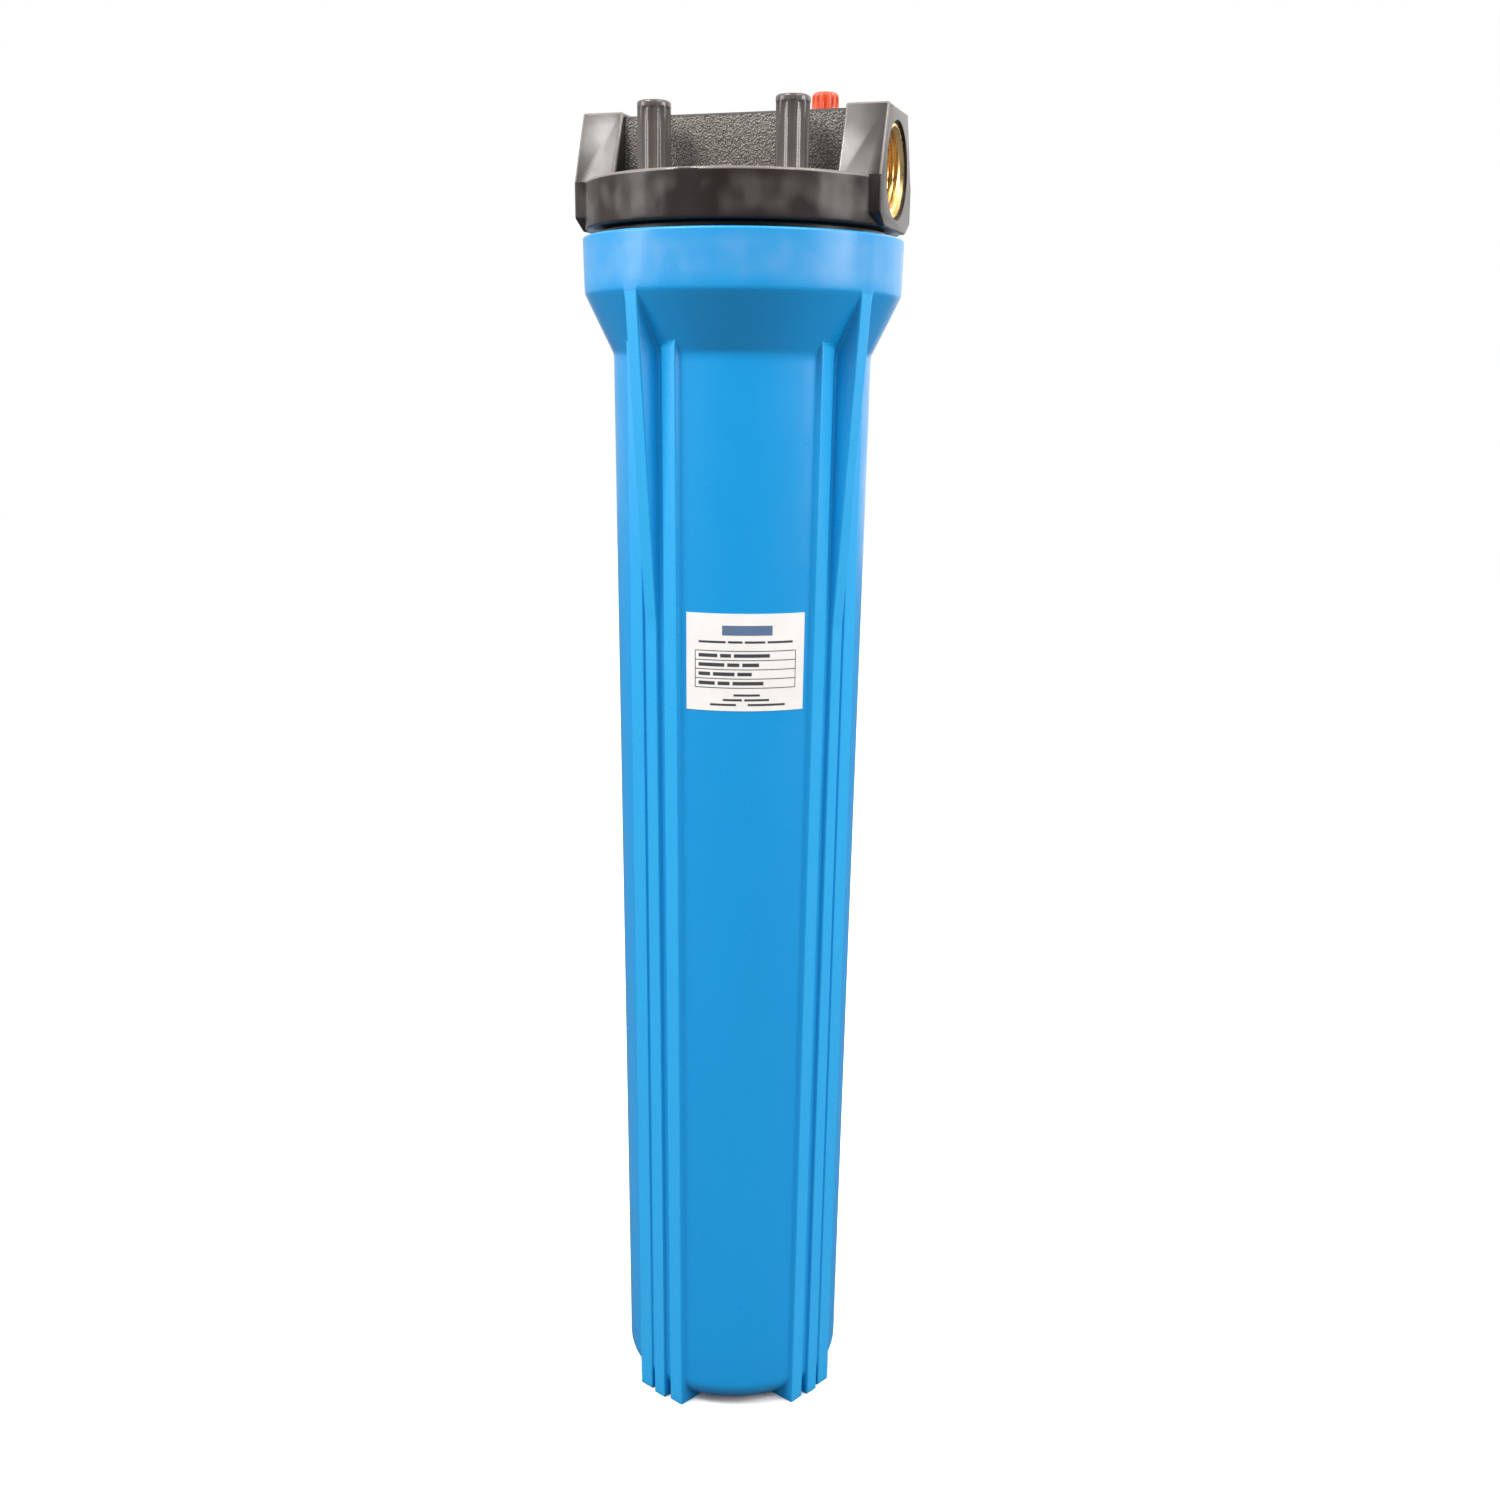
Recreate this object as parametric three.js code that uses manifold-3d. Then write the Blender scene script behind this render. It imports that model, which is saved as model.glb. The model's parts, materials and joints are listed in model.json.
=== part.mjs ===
// Cartridge filter housing for a 508 mm drop-in cartridge.
// Millimetres, +Z up. The origin is on the floor, under the middle of the sump.
// +X runs along the two ports, towards the inlet.

import * as THREE from "three";
import { mergeVertices } from "three/addons/utils/BufferGeometryUtils.js";
import Module from "manifold-3d";

const wasm = await Module();
wasm.setup();

// ---------- driving dimensions ----------

const GAP = 0.3; // between pieces that touch
const SIDES = 40; // facets around the large round walls

// sump
const SUMP_BOTTOM = 2.5;
const BODY_TOP = 500.4;
const COLLAR_BOTTOM = 525.1;
const COLLAR_TOP = 548.1;
const BODY_BOTTOM_R = 52.8;
const BODY_TOP_R = 56.4;
const COLLAR_R = 69.2;
const CORNER_R = 12.5;
const SUMP_FLOOR = 8;
const CAVITY_BOTTOM_R = 47.8;
const CAVITY_TOP_R = 51.4;
const SUMP_TURN = 20.75; // degrees from the port axis to the sump's own axes

// ribs on the sump, a cluster of three: each lies between two places across the cluster,
// and reaches this far from the axis at the bottom and at the top of the body
const RIBS = [
  { from: -14.3, to: -6.2, reach: [53, 57.2] },
  { from: -3.6, to: 3.6, reach: [54.2, 58.6] },
  { from: 6.2, to: 14.3, reach: [53, 57.2] },
];
const RIB_TOP = 510;
const GUSSET_START = 387;
const GUSSET_REACH = 68.6;
const FOOT_INNER = 36;

// screwed joint between sump and head
const THREAD_PITCH = 6.35;
const THREAD_STEPS = 30;
const SUMP_BORE_R = 63.4;
const SUMP_CREST_R = 61.2;
const SPIGOT_R = 60.6;
const SPIGOT_CREST_R = 62.8;
const SPIGOT_INNER_R = 56;
const RIDGE_ROOT = 3.2;
const RIDGE_CREST = 1.6;
const RIDGE_SINK = 0.6; // how far a ridge's root lies inside its wall
const THREAD_START = 528.2;
const THREAD_DROP = 2.2; // how much lower the spigot's ridge begins
const THREAD_TURNS = 2.6;
const SHOULDER = 522.5;
const GROOVE_DEPTH = 5;
const GROOVE_INNER_R = 55.5;
const GROOVE_OUTER_R = 61.5;
const SUMP_RING_R = 2.65;

// head
const SPIGOT_END = 523.4;
const FLANGE_BOTTOM = 550.9;
const FLANGE_TOP = 570;
const FLANGE_R = 68;
const CEILING = 552.5;
const PORT_HEIGHT = 574.3;
const PORT_FACE = 66.7;
const BOSS_INNER = 48.5;
const BOSS_TOP = 598.6;
const BOSS_HALF = 28.4;
const BOSS_TOP_HALF = 17.3;
const BOSS_FOOT_HALF = 20;
const BOSS_FOOT_RISE = 4.6;
const BRIDGE_HALF = 15.4;
const BRIDGE_TOP = 597;
const POST_TOP = 600;
const POST_R = 7.1;
const POST_X = 29.8;
const POST_Y = 29.5;
const PILOT_R = 1.9;
const PILOT_DEPTH = 18;
const PASSAGE_R = 12;
const STANDPIPE_R = 20;
const STANDPIPE_BORE_R = 11;
const INLET_DROP_R = 10;
const INLET_END = 24;

// brass inserts, 1 inch pipe thread
const POCKET_R = 18.8;
const POCKET_DEPTH = 17.8;
const MOUTH_R = 19.4;
const INSERT_R = 18.5;
const INSERT_MOUTH_R = 16.9;
const INSERT_BORE_R = 15.4;
const INSERT_RECESS = 0.8;

// pressure relief valve, above the inlet passage
const RELIEF_X = 35.2;
const BUTTON_R = 5.8;
const BUTTON_TOP = 605.5;
const BUTTON_BOTTOM = 594.6;
const BUTTON_SKIRT = 5.3;
const BUTTON_SKIRT_R = 4.6;
const STEM_END = 2.2; // from the button's top down to the end of the stem's socket
const BUTTON_POCKET_R = 6.2;
const BUTTON_POCKET_FLOOR = 590.5;
const VALVE_SEAT = 584.6;
const STEM_R = 1.5;
const VALVE_PLATE_R = 3.4;
const VALVE_PLATE = 1.9;
const VALVE_BOSS_R = 5.2;
const RELIEF_RING_R = 0.9;
const RELIEF_RING_MIDDLE = 2.75;
const SPRING_R = 3.6;
const SPRING_WIRE = 0.4;
const SPRING_TURNS = 5;

// cartridge: two modules joined end to end
const CARTRIDGE_BOTTOM = 18;
const CARTRIDGE_LENGTH = 508;
const CARTRIDGE_TOP = CARTRIDGE_BOTTOM + CARTRIDGE_LENGTH;
const CARTRIDGE_MIDDLE = CARTRIDGE_BOTTOM + CARTRIDGE_LENGTH / 2;
const CARTRIDGE_R = 32.5;
const RIM_INNER_R = 31.3;
const CORE_BORE_R = 13.5;
const CORE_R = 15.4;
const MEDIA_R = 30.9;
const MEDIA_INNER_R = 16.2;
const MEDIA_THICKNESS = 1.2;
const MEDIA_TIP = 2.4;
const PLEATS = 36;
const FOLD_ROUND = 1.5; // the inner folds stand off the core by this much
const GASKET = 2.5;
const CAP = 2.5;
const CAP_RIM = 6.5;
const SEAT_BASE = 16.7;
const SEAT_R = 24;
const SEAT_POST_R = 12.4;
const SEAT_POST_TOP = 32;
const KNIFE_R = 17.6;
const KNIFE_HALF = 0.6;
const KNIFE_HEIGHT = 1;

// label
const LABEL_BOTTOM = 352.4;
const LABEL_TOP = 394.5;
const LABEL_WIDTH = 52.6;
const LABEL_THICKNESS = 0.4;

// ---------- materials ----------

function plastic(color, roughness) {
  return new THREE.MeshStandardMaterial({ color, roughness, metalness: 0 });
}

const bluePlastic = plastic(0x2196d7, 0.4);
const blackPlastic = plastic(0x3a3634, 0.5);
const redPlastic = plastic(0xe8502c, 0.4);
const blackRubber = plastic(0x141414, 0.8);
const whiteRubber = plastic(0xd9d9d2, 0.8);
const whitePlastic = plastic(0xe6e6e0, 0.55);
const pleatedPolyester = plastic(0xf2efe6, 0.9);
const paper = plastic(0xf4f3f0, 0.6);
const brass = new THREE.MeshStandardMaterial({ color: 0xc69a45, roughness: 0.3, metalness: 1 });
const steel = new THREE.MeshStandardMaterial({ color: 0xb9bcc0, roughness: 0.3, metalness: 1 });

// ---------- solids ----------

// Turns a closed geometry into a manifold solid whose faces point out.
function solid(geometry) {
  const bare = geometry.clone();
  bare.deleteAttribute("normal");
  bare.deleteAttribute("uv");
  const merged = mergeVertices(bare, 1e-4);
  const vertProperties = new Float32Array(merged.attributes.position.array);
  const triVerts = new Uint32Array(merged.index.array);
  if (signedVolume(vertProperties, triVerts) < 0) {
    triVerts.reverse();
  }
  return new wasm.Manifold(new wasm.Mesh({ numProp: 3, vertProperties, triVerts }));
}

function signedVolume(points, triangles) {
  const a = new THREE.Vector3();
  const b = new THREE.Vector3();
  const c = new THREE.Vector3();
  let sum = 0;
  for (let i = 0; i < triangles.length; i += 3) {
    a.fromArray(points, 3 * triangles[i]);
    b.fromArray(points, 3 * triangles[i + 1]);
    c.fromArray(points, 3 * triangles[i + 2]);
    sum += a.dot(b.cross(c));
  }
  return sum;
}

function geometryOf(shape) {
  const mesh = shape.getMesh();
  const geometry = new THREE.BufferGeometry();
  geometry.setAttribute("position", new THREE.BufferAttribute(new Float32Array(mesh.vertProperties), 3));
  geometry.setIndex(new THREE.BufferAttribute(new Uint32Array(mesh.triVerts), 1));
  geometry.computeVertexNormals();
  return geometry;
}

// Revolves [radius, height] points about the Z axis.
function revolve(profile, sides = SIDES) {
  const points = profile.map(([r, z]) => new THREE.Vector2(r, z));
  return solid(new THREE.LatheGeometry(points, sides).rotateX(Math.PI / 2));
}

// A closed ring: the profile's last point is joined to its first.
function revolveRing(profile, sides = SIDES) {
  return revolve([...profile, profile[0]], sides);
}

function tube(outer, inner, bottom, top, sides = SIDES) {
  return revolveRing([[inner, bottom], [outer, bottom], [outer, top], [inner, top]], sides);
}

function rod(radius, bottom, top, sides = SIDES) {
  return revolve([[0, bottom], [radius, bottom], [radius, top], [0, top]], sides);
}

// A rod along X, between two places on the port axis.
function portRod(radius, from, to, sides = 32) {
  const geometry = new THREE.CylinderGeometry(radius, radius, Math.abs(to - from), sides);
  geometry.rotateZ(Math.PI / 2).translate((from + to) / 2, 0, PORT_HEIGHT);
  return solid(geometry);
}

function box(low, high) {
  const size = high.map((value, axis) => value - low[axis]);
  const geometry = new THREE.BoxGeometry(...size);
  return solid(geometry.translate(...low.map((value, axis) => value + size[axis] / 2)));
}

// Extrudes an outline of [across, height] points along X, centred on `middle`.
function slab(outline, width, middle) {
  const shape = new THREE.Shape(outline.map(([across, height]) => new THREE.Vector2(across, height)));
  const geometry = new THREE.ExtrudeGeometry(shape, { depth: width, bevelEnabled: false });
  geometry.translate(0, 0, middle - width / 2);
  // outline x to Y, outline y to Z, depth to X
  const toSide = new THREE.Matrix4().set(0, 0, 1, 0, 1, 0, 0, 0, 0, 1, 0, 0, 0, 0, 0, 1);
  return solid(geometry.applyMatrix4(toSide));
}

// Joins sections of [x, y, z] points, each with the same number of points, and closes both ends.
function lofted(sections) {
  const count = sections[0].length;
  const indices = [];
  for (let i = 0; i + 1 < sections.length; i++) {
    for (let k = 0; k < count; k++) {
      const a = count * i + k;
      const b = count * i + ((k + 1) % count);
      indices.push(a, b, a + count, b, b + count, a + count);
    }
  }
  const last = count * (sections.length - 1);
  for (let k = 1; k + 1 < count; k++) {
    indices.push(0, k + 1, k, last, last + k, last + k + 1);
  }
  const geometry = new THREE.BufferGeometry();
  geometry.setAttribute("position", new THREE.Float32BufferAttribute(sections.flat(2), 3));
  geometry.setIndex(indices);
  return solid(geometry);
}

function turned(shape, degrees) {
  return shape.rotate([0, 0, degrees]);
}

function moved(shape, x, y, z) {
  return shape.translate([x, y, z]);
}

function joined(shapes) {
  return shapes.reduce((whole, shape) => whole.add(shape));
}

// A right-hand helical ridge: a trapezoid section swept about Z from `root` to `crest` radius.
function helicalRidge(root, crest, start) {
  const sections = [];
  for (let i = 0; i <= Math.round(THREAD_TURNS * THREAD_STEPS); i++) {
    const angle = (i / THREAD_STEPS) * 2 * Math.PI;
    const z = start + (i / THREAD_STEPS) * THREAD_PITCH;
    const section = [
      [root, z - RIDGE_ROOT / 2],
      [crest, z - RIDGE_CREST / 2],
      [crest, z + RIDGE_CREST / 2],
      [root, z + RIDGE_ROOT / 2],
    ];
    sections.push(section.map(([r, height]) => [r * Math.cos(angle), r * Math.sin(angle), height]));
  }
  return lofted(sections);
}

// ---------- sump ----------

function bodyRadius(z) {
  const bottom = SUMP_BOTTOM + CORNER_R;
  return BODY_BOTTOM_R + ((BODY_TOP_R - BODY_BOTTOM_R) * (z - bottom)) / (BODY_TOP - bottom);
}

function arcPoints(centreR, centreZ, radius, fromDegrees, toDegrees, steps) {
  return Array.from({ length: steps + 1 }, (_, i) => {
    const angle = THREE.MathUtils.degToRad(fromDegrees + ((toDegrees - fromDegrees) * i) / steps);
    return [centreR + radius * Math.cos(angle), centreZ + radius * Math.sin(angle)];
  });
}

function sumpOutside() {
  return revolve([
    [0, SUMP_BOTTOM],
    ...arcPoints(BODY_BOTTOM_R - CORNER_R, SUMP_BOTTOM + CORNER_R, CORNER_R, -90, 0, 4),
    [BODY_TOP_R, BODY_TOP],
    [COLLAR_R - 0.7, COLLAR_BOTTOM],
    [COLLAR_R, COLLAR_TOP - 1],
    [COLLAR_R - 1, COLLAR_TOP],
    [0, COLLAR_TOP],
  ]);
}

// The hollow: a tapered bore, a shoulder for the seal and the threaded bore above it.
function sumpInside() {
  const corner = 8;
  const above = COLLAR_TOP + 5;
  const bore = revolve([
    [0, SUMP_FLOOR],
    ...arcPoints(CAVITY_BOTTOM_R - corner, SUMP_FLOOR + corner, corner, -90, 0, 3),
    [CAVITY_TOP_R, SHOULDER],
    [SUMP_BORE_R, SHOULDER],
    [SUMP_BORE_R, above],
    [0, above],
  ]);
  return bore.add(tube(GROOVE_OUTER_R, GROOVE_INNER_R, SHOULDER - GROOVE_DEPTH, SHOULDER + 1));
}

// One rib along its cluster's diagonal. The middle one runs up to the collar as a gusset.
function rib({ from, to, reach }) {
  const reachAt = (z) => reach[0] + ((reach[1] - reach[0]) * z) / BODY_TOP;
  const section = (z, tip) => [[FOOT_INNER, from, z], [tip, from, z], [tip, to, z], [FOOT_INNER, to, z]];
  const isGusset = from < 0 && to > 0;
  const upper = isGusset
    ? [section(GUSSET_START, reachAt(GUSSET_START)), section(COLLAR_BOTTOM + 2, GUSSET_REACH)]
    : [section(RIB_TOP, reachAt(RIB_TOP))];
  return turned(lofted([section(0, reachAt(0)), ...upper]), 45);
}

// The post and knife edge that centre the cartridge on the sump's floor.
function cartridgeSeat() {
  const taper = 4;
  return revolve([
    [0, SUMP_FLOOR - 1],
    [SEAT_R, SUMP_FLOOR - 1],
    [SEAT_R, SEAT_BASE],
    ...knifeEdge(SEAT_BASE, KNIFE_HEIGHT),
    [SEAT_POST_R, SEAT_BASE],
    [SEAT_POST_R - 0.6, SEAT_POST_TOP - taper],
    [SEAT_POST_R - taper, SEAT_POST_TOP],
    [0, SEAT_POST_TOP],
  ], 32);
}

// A narrow raised ring that bites into a gasket; a negative height points it down.
function knifeEdge(base, height) {
  return [
    [KNIFE_R + KNIFE_HALF, base],
    [KNIFE_R, base + height],
    [KNIFE_R - KNIFE_HALF, base],
  ];
}

function sump() {
  const cluster = joined(RIBS.map(rib));
  const clusters = joined([0, 90, 180, 270].map((degrees) => turned(cluster, degrees)));
  const shell = sumpOutside().add(clusters).subtract(sumpInside());
  const ridge = helicalRidge(SUMP_BORE_R + RIDGE_SINK, SUMP_CREST_R, THREAD_START);
  return turned(joined([shell, cartridgeSeat(), ridge]), SUMP_TURN);
}

function sumpRing() {
  const height = SHOULDER - GROOVE_DEPTH + GAP + SUMP_RING_R;
  const middle = (GROOVE_INNER_R + GROOVE_OUTER_R) / 2;
  return solid(new THREE.TorusGeometry(middle, SUMP_RING_R, 8, 40).translate(0, 0, height));
}

// A curved sheet on the panel that faces the sump's own -Y side.
function label() {
  const inner = (z) => bodyRadius(z) + GAP;
  const shell = revolveRing([
    [inner(LABEL_BOTTOM), LABEL_BOTTOM],
    [inner(LABEL_BOTTOM) + LABEL_THICKNESS, LABEL_BOTTOM],
    [inner(LABEL_TOP) + LABEL_THICKNESS, LABEL_TOP],
    [inner(LABEL_TOP), LABEL_TOP],
  ], 2 * SIDES);
  const halfAngle = LABEL_WIDTH / 2 / inner((LABEL_BOTTOM + LABEL_TOP) / 2);
  const halfChord = inner(LABEL_TOP) * Math.sin(halfAngle);
  const window = box([-halfChord, -BODY_TOP_R - 5, LABEL_BOTTOM - 1], [halfChord, 0, LABEL_TOP + 1]);
  return turned(shell.intersect(window), SUMP_TURN);
}

// ---------- head ----------

function boss(side) {
  const outline = [
    [BOSS_TOP_HALF, BOSS_TOP],
    [BOSS_HALF, FLANGE_TOP],
    [BOSS_HALF, FLANGE_BOTTOM + BOSS_FOOT_RISE],
    [BOSS_FOOT_HALF, FLANGE_BOTTOM],
  ];
  const mirrored = outline.map(([across, height]) => [-across, height]).reverse();
  return slab([...outline, ...mirrored], PORT_FACE - BOSS_INNER, (side * (PORT_FACE + BOSS_INNER)) / 2);
}

function post(x, y) {
  return moved(revolve([
    [0, FLANGE_TOP - 5],
    [POST_R, FLANGE_TOP - 5],
    [POST_R, POST_TOP - 0.8],
    [POST_R - 0.8, POST_TOP],
    [0, POST_TOP],
  ], 20), x, y, 0);
}

function postPlaces() {
  return [-1, 1].flatMap((side) => [-1, 1].map((end) => [end * POST_X, side * POST_Y]));
}

function headOutside() {
  const flange = revolve([
    [0, FLANGE_BOTTOM],
    [FLANGE_R - 0.8, FLANGE_BOTTOM],
    [FLANGE_R, FLANGE_BOTTOM + 0.8],
    [FLANGE_R, FLANGE_TOP - 0.8],
    [FLANGE_R - 0.8, FLANGE_TOP],
    [0, FLANGE_TOP],
  ]);
  const between = box([-PORT_FACE, -COLLAR_R, FLANGE_BOTTOM - 1], [PORT_FACE, COLLAR_R, FLANGE_TOP + 1]);
  const trimmed = flange.intersect(between);
  const spigot = rod(SPIGOT_R, SPIGOT_END, FLANGE_BOTTOM + 1);
  const bridge = box(
    [-BOSS_INNER - 1, -BRIDGE_HALF, FLANGE_TOP - 1],
    [BOSS_INNER + 1, BRIDGE_HALF, BRIDGE_TOP]
  );
  const posts = postPlaces().map(([x, y]) => post(x, y));
  return joined([trimmed, spigot, bridge, boss(-1), boss(1), ...posts]);
}

// The space around the standpipe, and the knife edge left standing under it.
function headHollow() {
  const standpipeEnd = CARTRIDGE_TOP + GAP + KNIFE_HEIGHT;
  const below = SPIGOT_END - 1;
  return revolve([
    [0, below],
    [SPIGOT_INNER_R, below],
    [SPIGOT_INNER_R, CEILING],
    [STANDPIPE_R, CEILING],
    [STANDPIPE_R, standpipeEnd],
    ...knifeEdge(standpipeEnd, -KNIFE_HEIGHT),
    [0, standpipeEnd],
  ]);
}

// Water comes in from +X and drops around the cartridge; it leaves up the standpipe towards -X.
function passages() {
  const pocketEnd = PORT_FACE - POCKET_DEPTH;
  return joined([
    portRod(PASSAGE_R, INLET_END, pocketEnd + 1),
    moved(rod(INLET_DROP_R, CEILING - 2, PORT_HEIGHT, 24), RELIEF_X, 0, 0),
    portRod(PASSAGE_R, -pocketEnd - 1, 0),
    rod(STANDPIPE_BORE_R, SPIGOT_END, PORT_HEIGHT, 32),
  ]);
}

function portPocket(side) {
  const pocket = portRod(POCKET_R, side * (PORT_FACE - POCKET_DEPTH), side * (PORT_FACE + 1), SIDES);
  return pocket.add(portRod(MOUTH_R, side * (PORT_FACE - INSERT_RECESS), side * (PORT_FACE + 1), SIDES));
}

function reliefBores() {
  const bores = rod(BUTTON_POCKET_R, BUTTON_POCKET_FLOOR, BRIDGE_TOP + 1, 24);
  return moved(bores.add(rod(STEM_R + 0.7, VALVE_SEAT - 1, BRIDGE_TOP, 16)), RELIEF_X, 0, 0);
}

function head() {
  const seatBoss = moved(rod(VALVE_BOSS_R, VALVE_SEAT, BUTTON_POCKET_FLOOR - 1, 24), RELIEF_X, 0, 0);
  const pilots = joined(
    postPlaces().map(([x, y]) => moved(rod(PILOT_R, POST_TOP - PILOT_DEPTH, POST_TOP + 1, 12), x, y, 0))
  );
  return headOutside()
    .subtract(headHollow())
    .subtract(passages())
    .add(seatBoss)
    .subtract(joined([portPocket(-1), portPocket(1), reliefBores(), pilots]))
    .add(headThread());
}

// The spigot's ridge runs midway between the turns of the sump's ridge, turned with it.
function headThread() {
  const start = THREAD_START + THREAD_PITCH / 2 - THREAD_DROP;
  const ridge = helicalRidge(SPIGOT_R - RIDGE_SINK, SPIGOT_CREST_R, start);
  const sameHelix = (THREAD_DROP / THREAD_PITCH) * 360;
  return turned(ridge, SUMP_TURN - sameHelix);
}

function portInsert(side) {
  const inner = PORT_FACE - POCKET_DEPTH + GAP;
  const outer = PORT_FACE - INSERT_RECESS - GAP;
  const chamfer = INSERT_MOUTH_R - INSERT_BORE_R;
  const ring = revolveRing([
    [INSERT_BORE_R, inner],
    [INSERT_R, inner],
    [INSERT_R, outer],
    [INSERT_MOUTH_R, outer],
    [INSERT_BORE_R, outer - chamfer],
  ]);
  // stand the ring's axis along X, its mouth facing outwards
  return moved(ring.rotate([0, 90 * side, 0]), 0, 0, PORT_HEIGHT);
}

// ---------- pressure relief valve ----------

function reliefButton() {
  const skirtTop = BUTTON_BOTTOM + BUTTON_SKIRT;
  const stemHole = STEM_R + GAP;
  const stemTop = BUTTON_TOP - STEM_END;
  return moved(revolve([
    [0, stemTop],
    [stemHole, stemTop],
    [stemHole, skirtTop],
    [BUTTON_SKIRT_R, skirtTop],
    [BUTTON_SKIRT_R, BUTTON_BOTTOM],
    [BUTTON_R, BUTTON_BOTTOM],
    [BUTTON_R, BUTTON_TOP - 1],
    [BUTTON_R - 1, BUTTON_TOP],
    [0, BUTTON_TOP],
  ], 24), RELIEF_X, 0, 0);
}

function reliefStem() {
  const plateTop = VALVE_SEAT - 2 * GAP - 2 * RELIEF_RING_R;
  const stemTop = BUTTON_TOP - STEM_END - GAP;
  return moved(revolve([
    [0, plateTop - VALVE_PLATE],
    [VALVE_PLATE_R, plateTop - VALVE_PLATE],
    [VALVE_PLATE_R, plateTop],
    [STEM_R, plateTop],
    [STEM_R, stemTop],
    [0, stemTop],
  ], 20), RELIEF_X, 0, 0);
}

function reliefRing() {
  const ring = new THREE.TorusGeometry(RELIEF_RING_MIDDLE, RELIEF_RING_R, 6, 16);
  return solid(ring.translate(RELIEF_X, 0, VALVE_SEAT - GAP - RELIEF_RING_R));
}

class CoilCurve extends THREE.Curve {
  constructor(radius, bottom, top, turns) {
    super();
    Object.assign(this, { radius, bottom, top, turns });
  }

  getPoint(t, target = new THREE.Vector3()) {
    const angle = 2 * Math.PI * this.turns * t;
    const z = this.bottom + (this.top - this.bottom) * t;
    return target.set(this.radius * Math.cos(angle), this.radius * Math.sin(angle), z);
  }
}

function reliefSpring() {
  const bottom = BUTTON_POCKET_FLOOR + GAP + SPRING_WIRE;
  const top = BUTTON_BOTTOM + BUTTON_SKIRT - GAP - SPRING_WIRE;
  const section = Array.from({ length: 6 }, (_, i) => {
    const angle = (i * Math.PI) / 3;
    return new THREE.Vector2(SPRING_WIRE * Math.cos(angle), SPRING_WIRE * Math.sin(angle));
  });
  const geometry = new THREE.ExtrudeGeometry(new THREE.Shape(section), {
    extrudePath: new CoilCurve(SPRING_R, bottom, top, SPRING_TURNS),
    steps: 12 * SPRING_TURNS,
  });
  return solid(geometry.translate(RELIEF_X, 0, 0));
}

// ---------- cartridge ----------

// A cap whose rim holds the netting; `bottom` is its disc's underside.
function cartridgeCap(bottom, rimBottom, rimTop) {
  const disc = tube(CARTRIDGE_R, CORE_BORE_R, bottom, bottom + CAP, 32);
  return disc.add(tube(CARTRIDGE_R, RIM_INNER_R, rimBottom, rimTop, 32));
}

function gasket(bottom) {
  return tube(CARTRIDGE_R - 1.5, CORE_BORE_R, bottom, bottom + GASKET, 32);
}

// Boxes through the axis that cut rows of paired windows in a tube.
function windows(bottom, top, rows, width, gapHeight, pairs) {
  const pitch = (top - bottom) / rows;
  const cuts = [];
  for (let row = 0; row < rows; row++) {
    const low = bottom + row * pitch + gapHeight / 2;
    const high = low + pitch - gapHeight;
    for (let pair = 0; pair < pairs; pair++) {
      cuts.push(turned(box([-40, -width / 2, low], [40, width / 2, high]), (180 * pair) / pairs));
    }
  }
  return joined(cuts);
}

function core(bottom, top) {
  return tube(CORE_R, CORE_BORE_R, bottom, top, 20).subtract(windows(bottom, top, 4, 6, 8, 2));
}

function netting(bottom, top) {
  const sleeve = tube(RIM_INNER_R + 0.9, RIM_INNER_R - 0.1, bottom, top, 32);
  return sleeve.subtract(windows(bottom, top, 4, 14, 5, 4));
}

// A pleated sheet: the outer and the inner folds run side by side at the sheet's thickness.
function media(bottom, top) {
  const fold = (radius, shift) => Array.from({ length: 2 * PLEATS }, (_, i) => {
    const angle = (Math.PI * i) / PLEATS;
    const r = (i % 2 === 0 ? radius : MEDIA_INNER_R + FOLD_ROUND) - shift;
    return new THREE.Vector2(r * Math.cos(angle), r * Math.sin(angle));
  });
  const shape = new THREE.Shape(fold(MEDIA_R, 0));
  shape.holes.push(new THREE.Path(fold(MEDIA_R - MEDIA_TIP, MEDIA_THICKNESS)));
  const geometry = new THREE.ExtrudeGeometry(shape, { depth: top - bottom, bevelEnabled: false });
  return solid(geometry.translate(0, 0, bottom));
}

function cartridge() {
  const bottomCap = CARTRIDGE_BOTTOM + GASKET + GAP;
  const topCap = CARTRIDGE_TOP - GASKET - GAP - CAP;
  const joiner = CARTRIDGE_MIDDLE - CAP / 2;
  const lower = [bottomCap + CAP + GAP, joiner - GAP];
  const upper = [joiner + CAP + GAP, topCap - GAP];
  const inside = ([low, high]) => [low + CAP_RIM, high - CAP_RIM];
  return [
    ["cartridge_bottom_gasket", gasket(CARTRIDGE_BOTTOM), whiteRubber],
    ["cartridge_bottom_cap", cartridgeCap(bottomCap, bottomCap, bottomCap + CAP + CAP_RIM), whitePlastic],
    ["cartridge_lower_core", core(...lower), whitePlastic],
    ["cartridge_lower_media", media(...lower), pleatedPolyester],
    ["cartridge_lower_netting", netting(...inside(lower)), whitePlastic],
    ["cartridge_joiner", cartridgeCap(joiner, joiner - CAP_RIM, joiner + CAP + CAP_RIM), whitePlastic],
    ["cartridge_upper_core", core(...upper), whitePlastic],
    ["cartridge_upper_media", media(...upper), pleatedPolyester],
    ["cartridge_upper_netting", netting(...inside(upper)), whitePlastic],
    ["cartridge_top_cap", cartridgeCap(topCap, topCap - CAP_RIM, topCap + CAP), whitePlastic],
    ["cartridge_top_gasket", gasket(CARTRIDGE_TOP - GASKET), whiteRubber],
  ];
}

// ---------- assembly ----------

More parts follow.
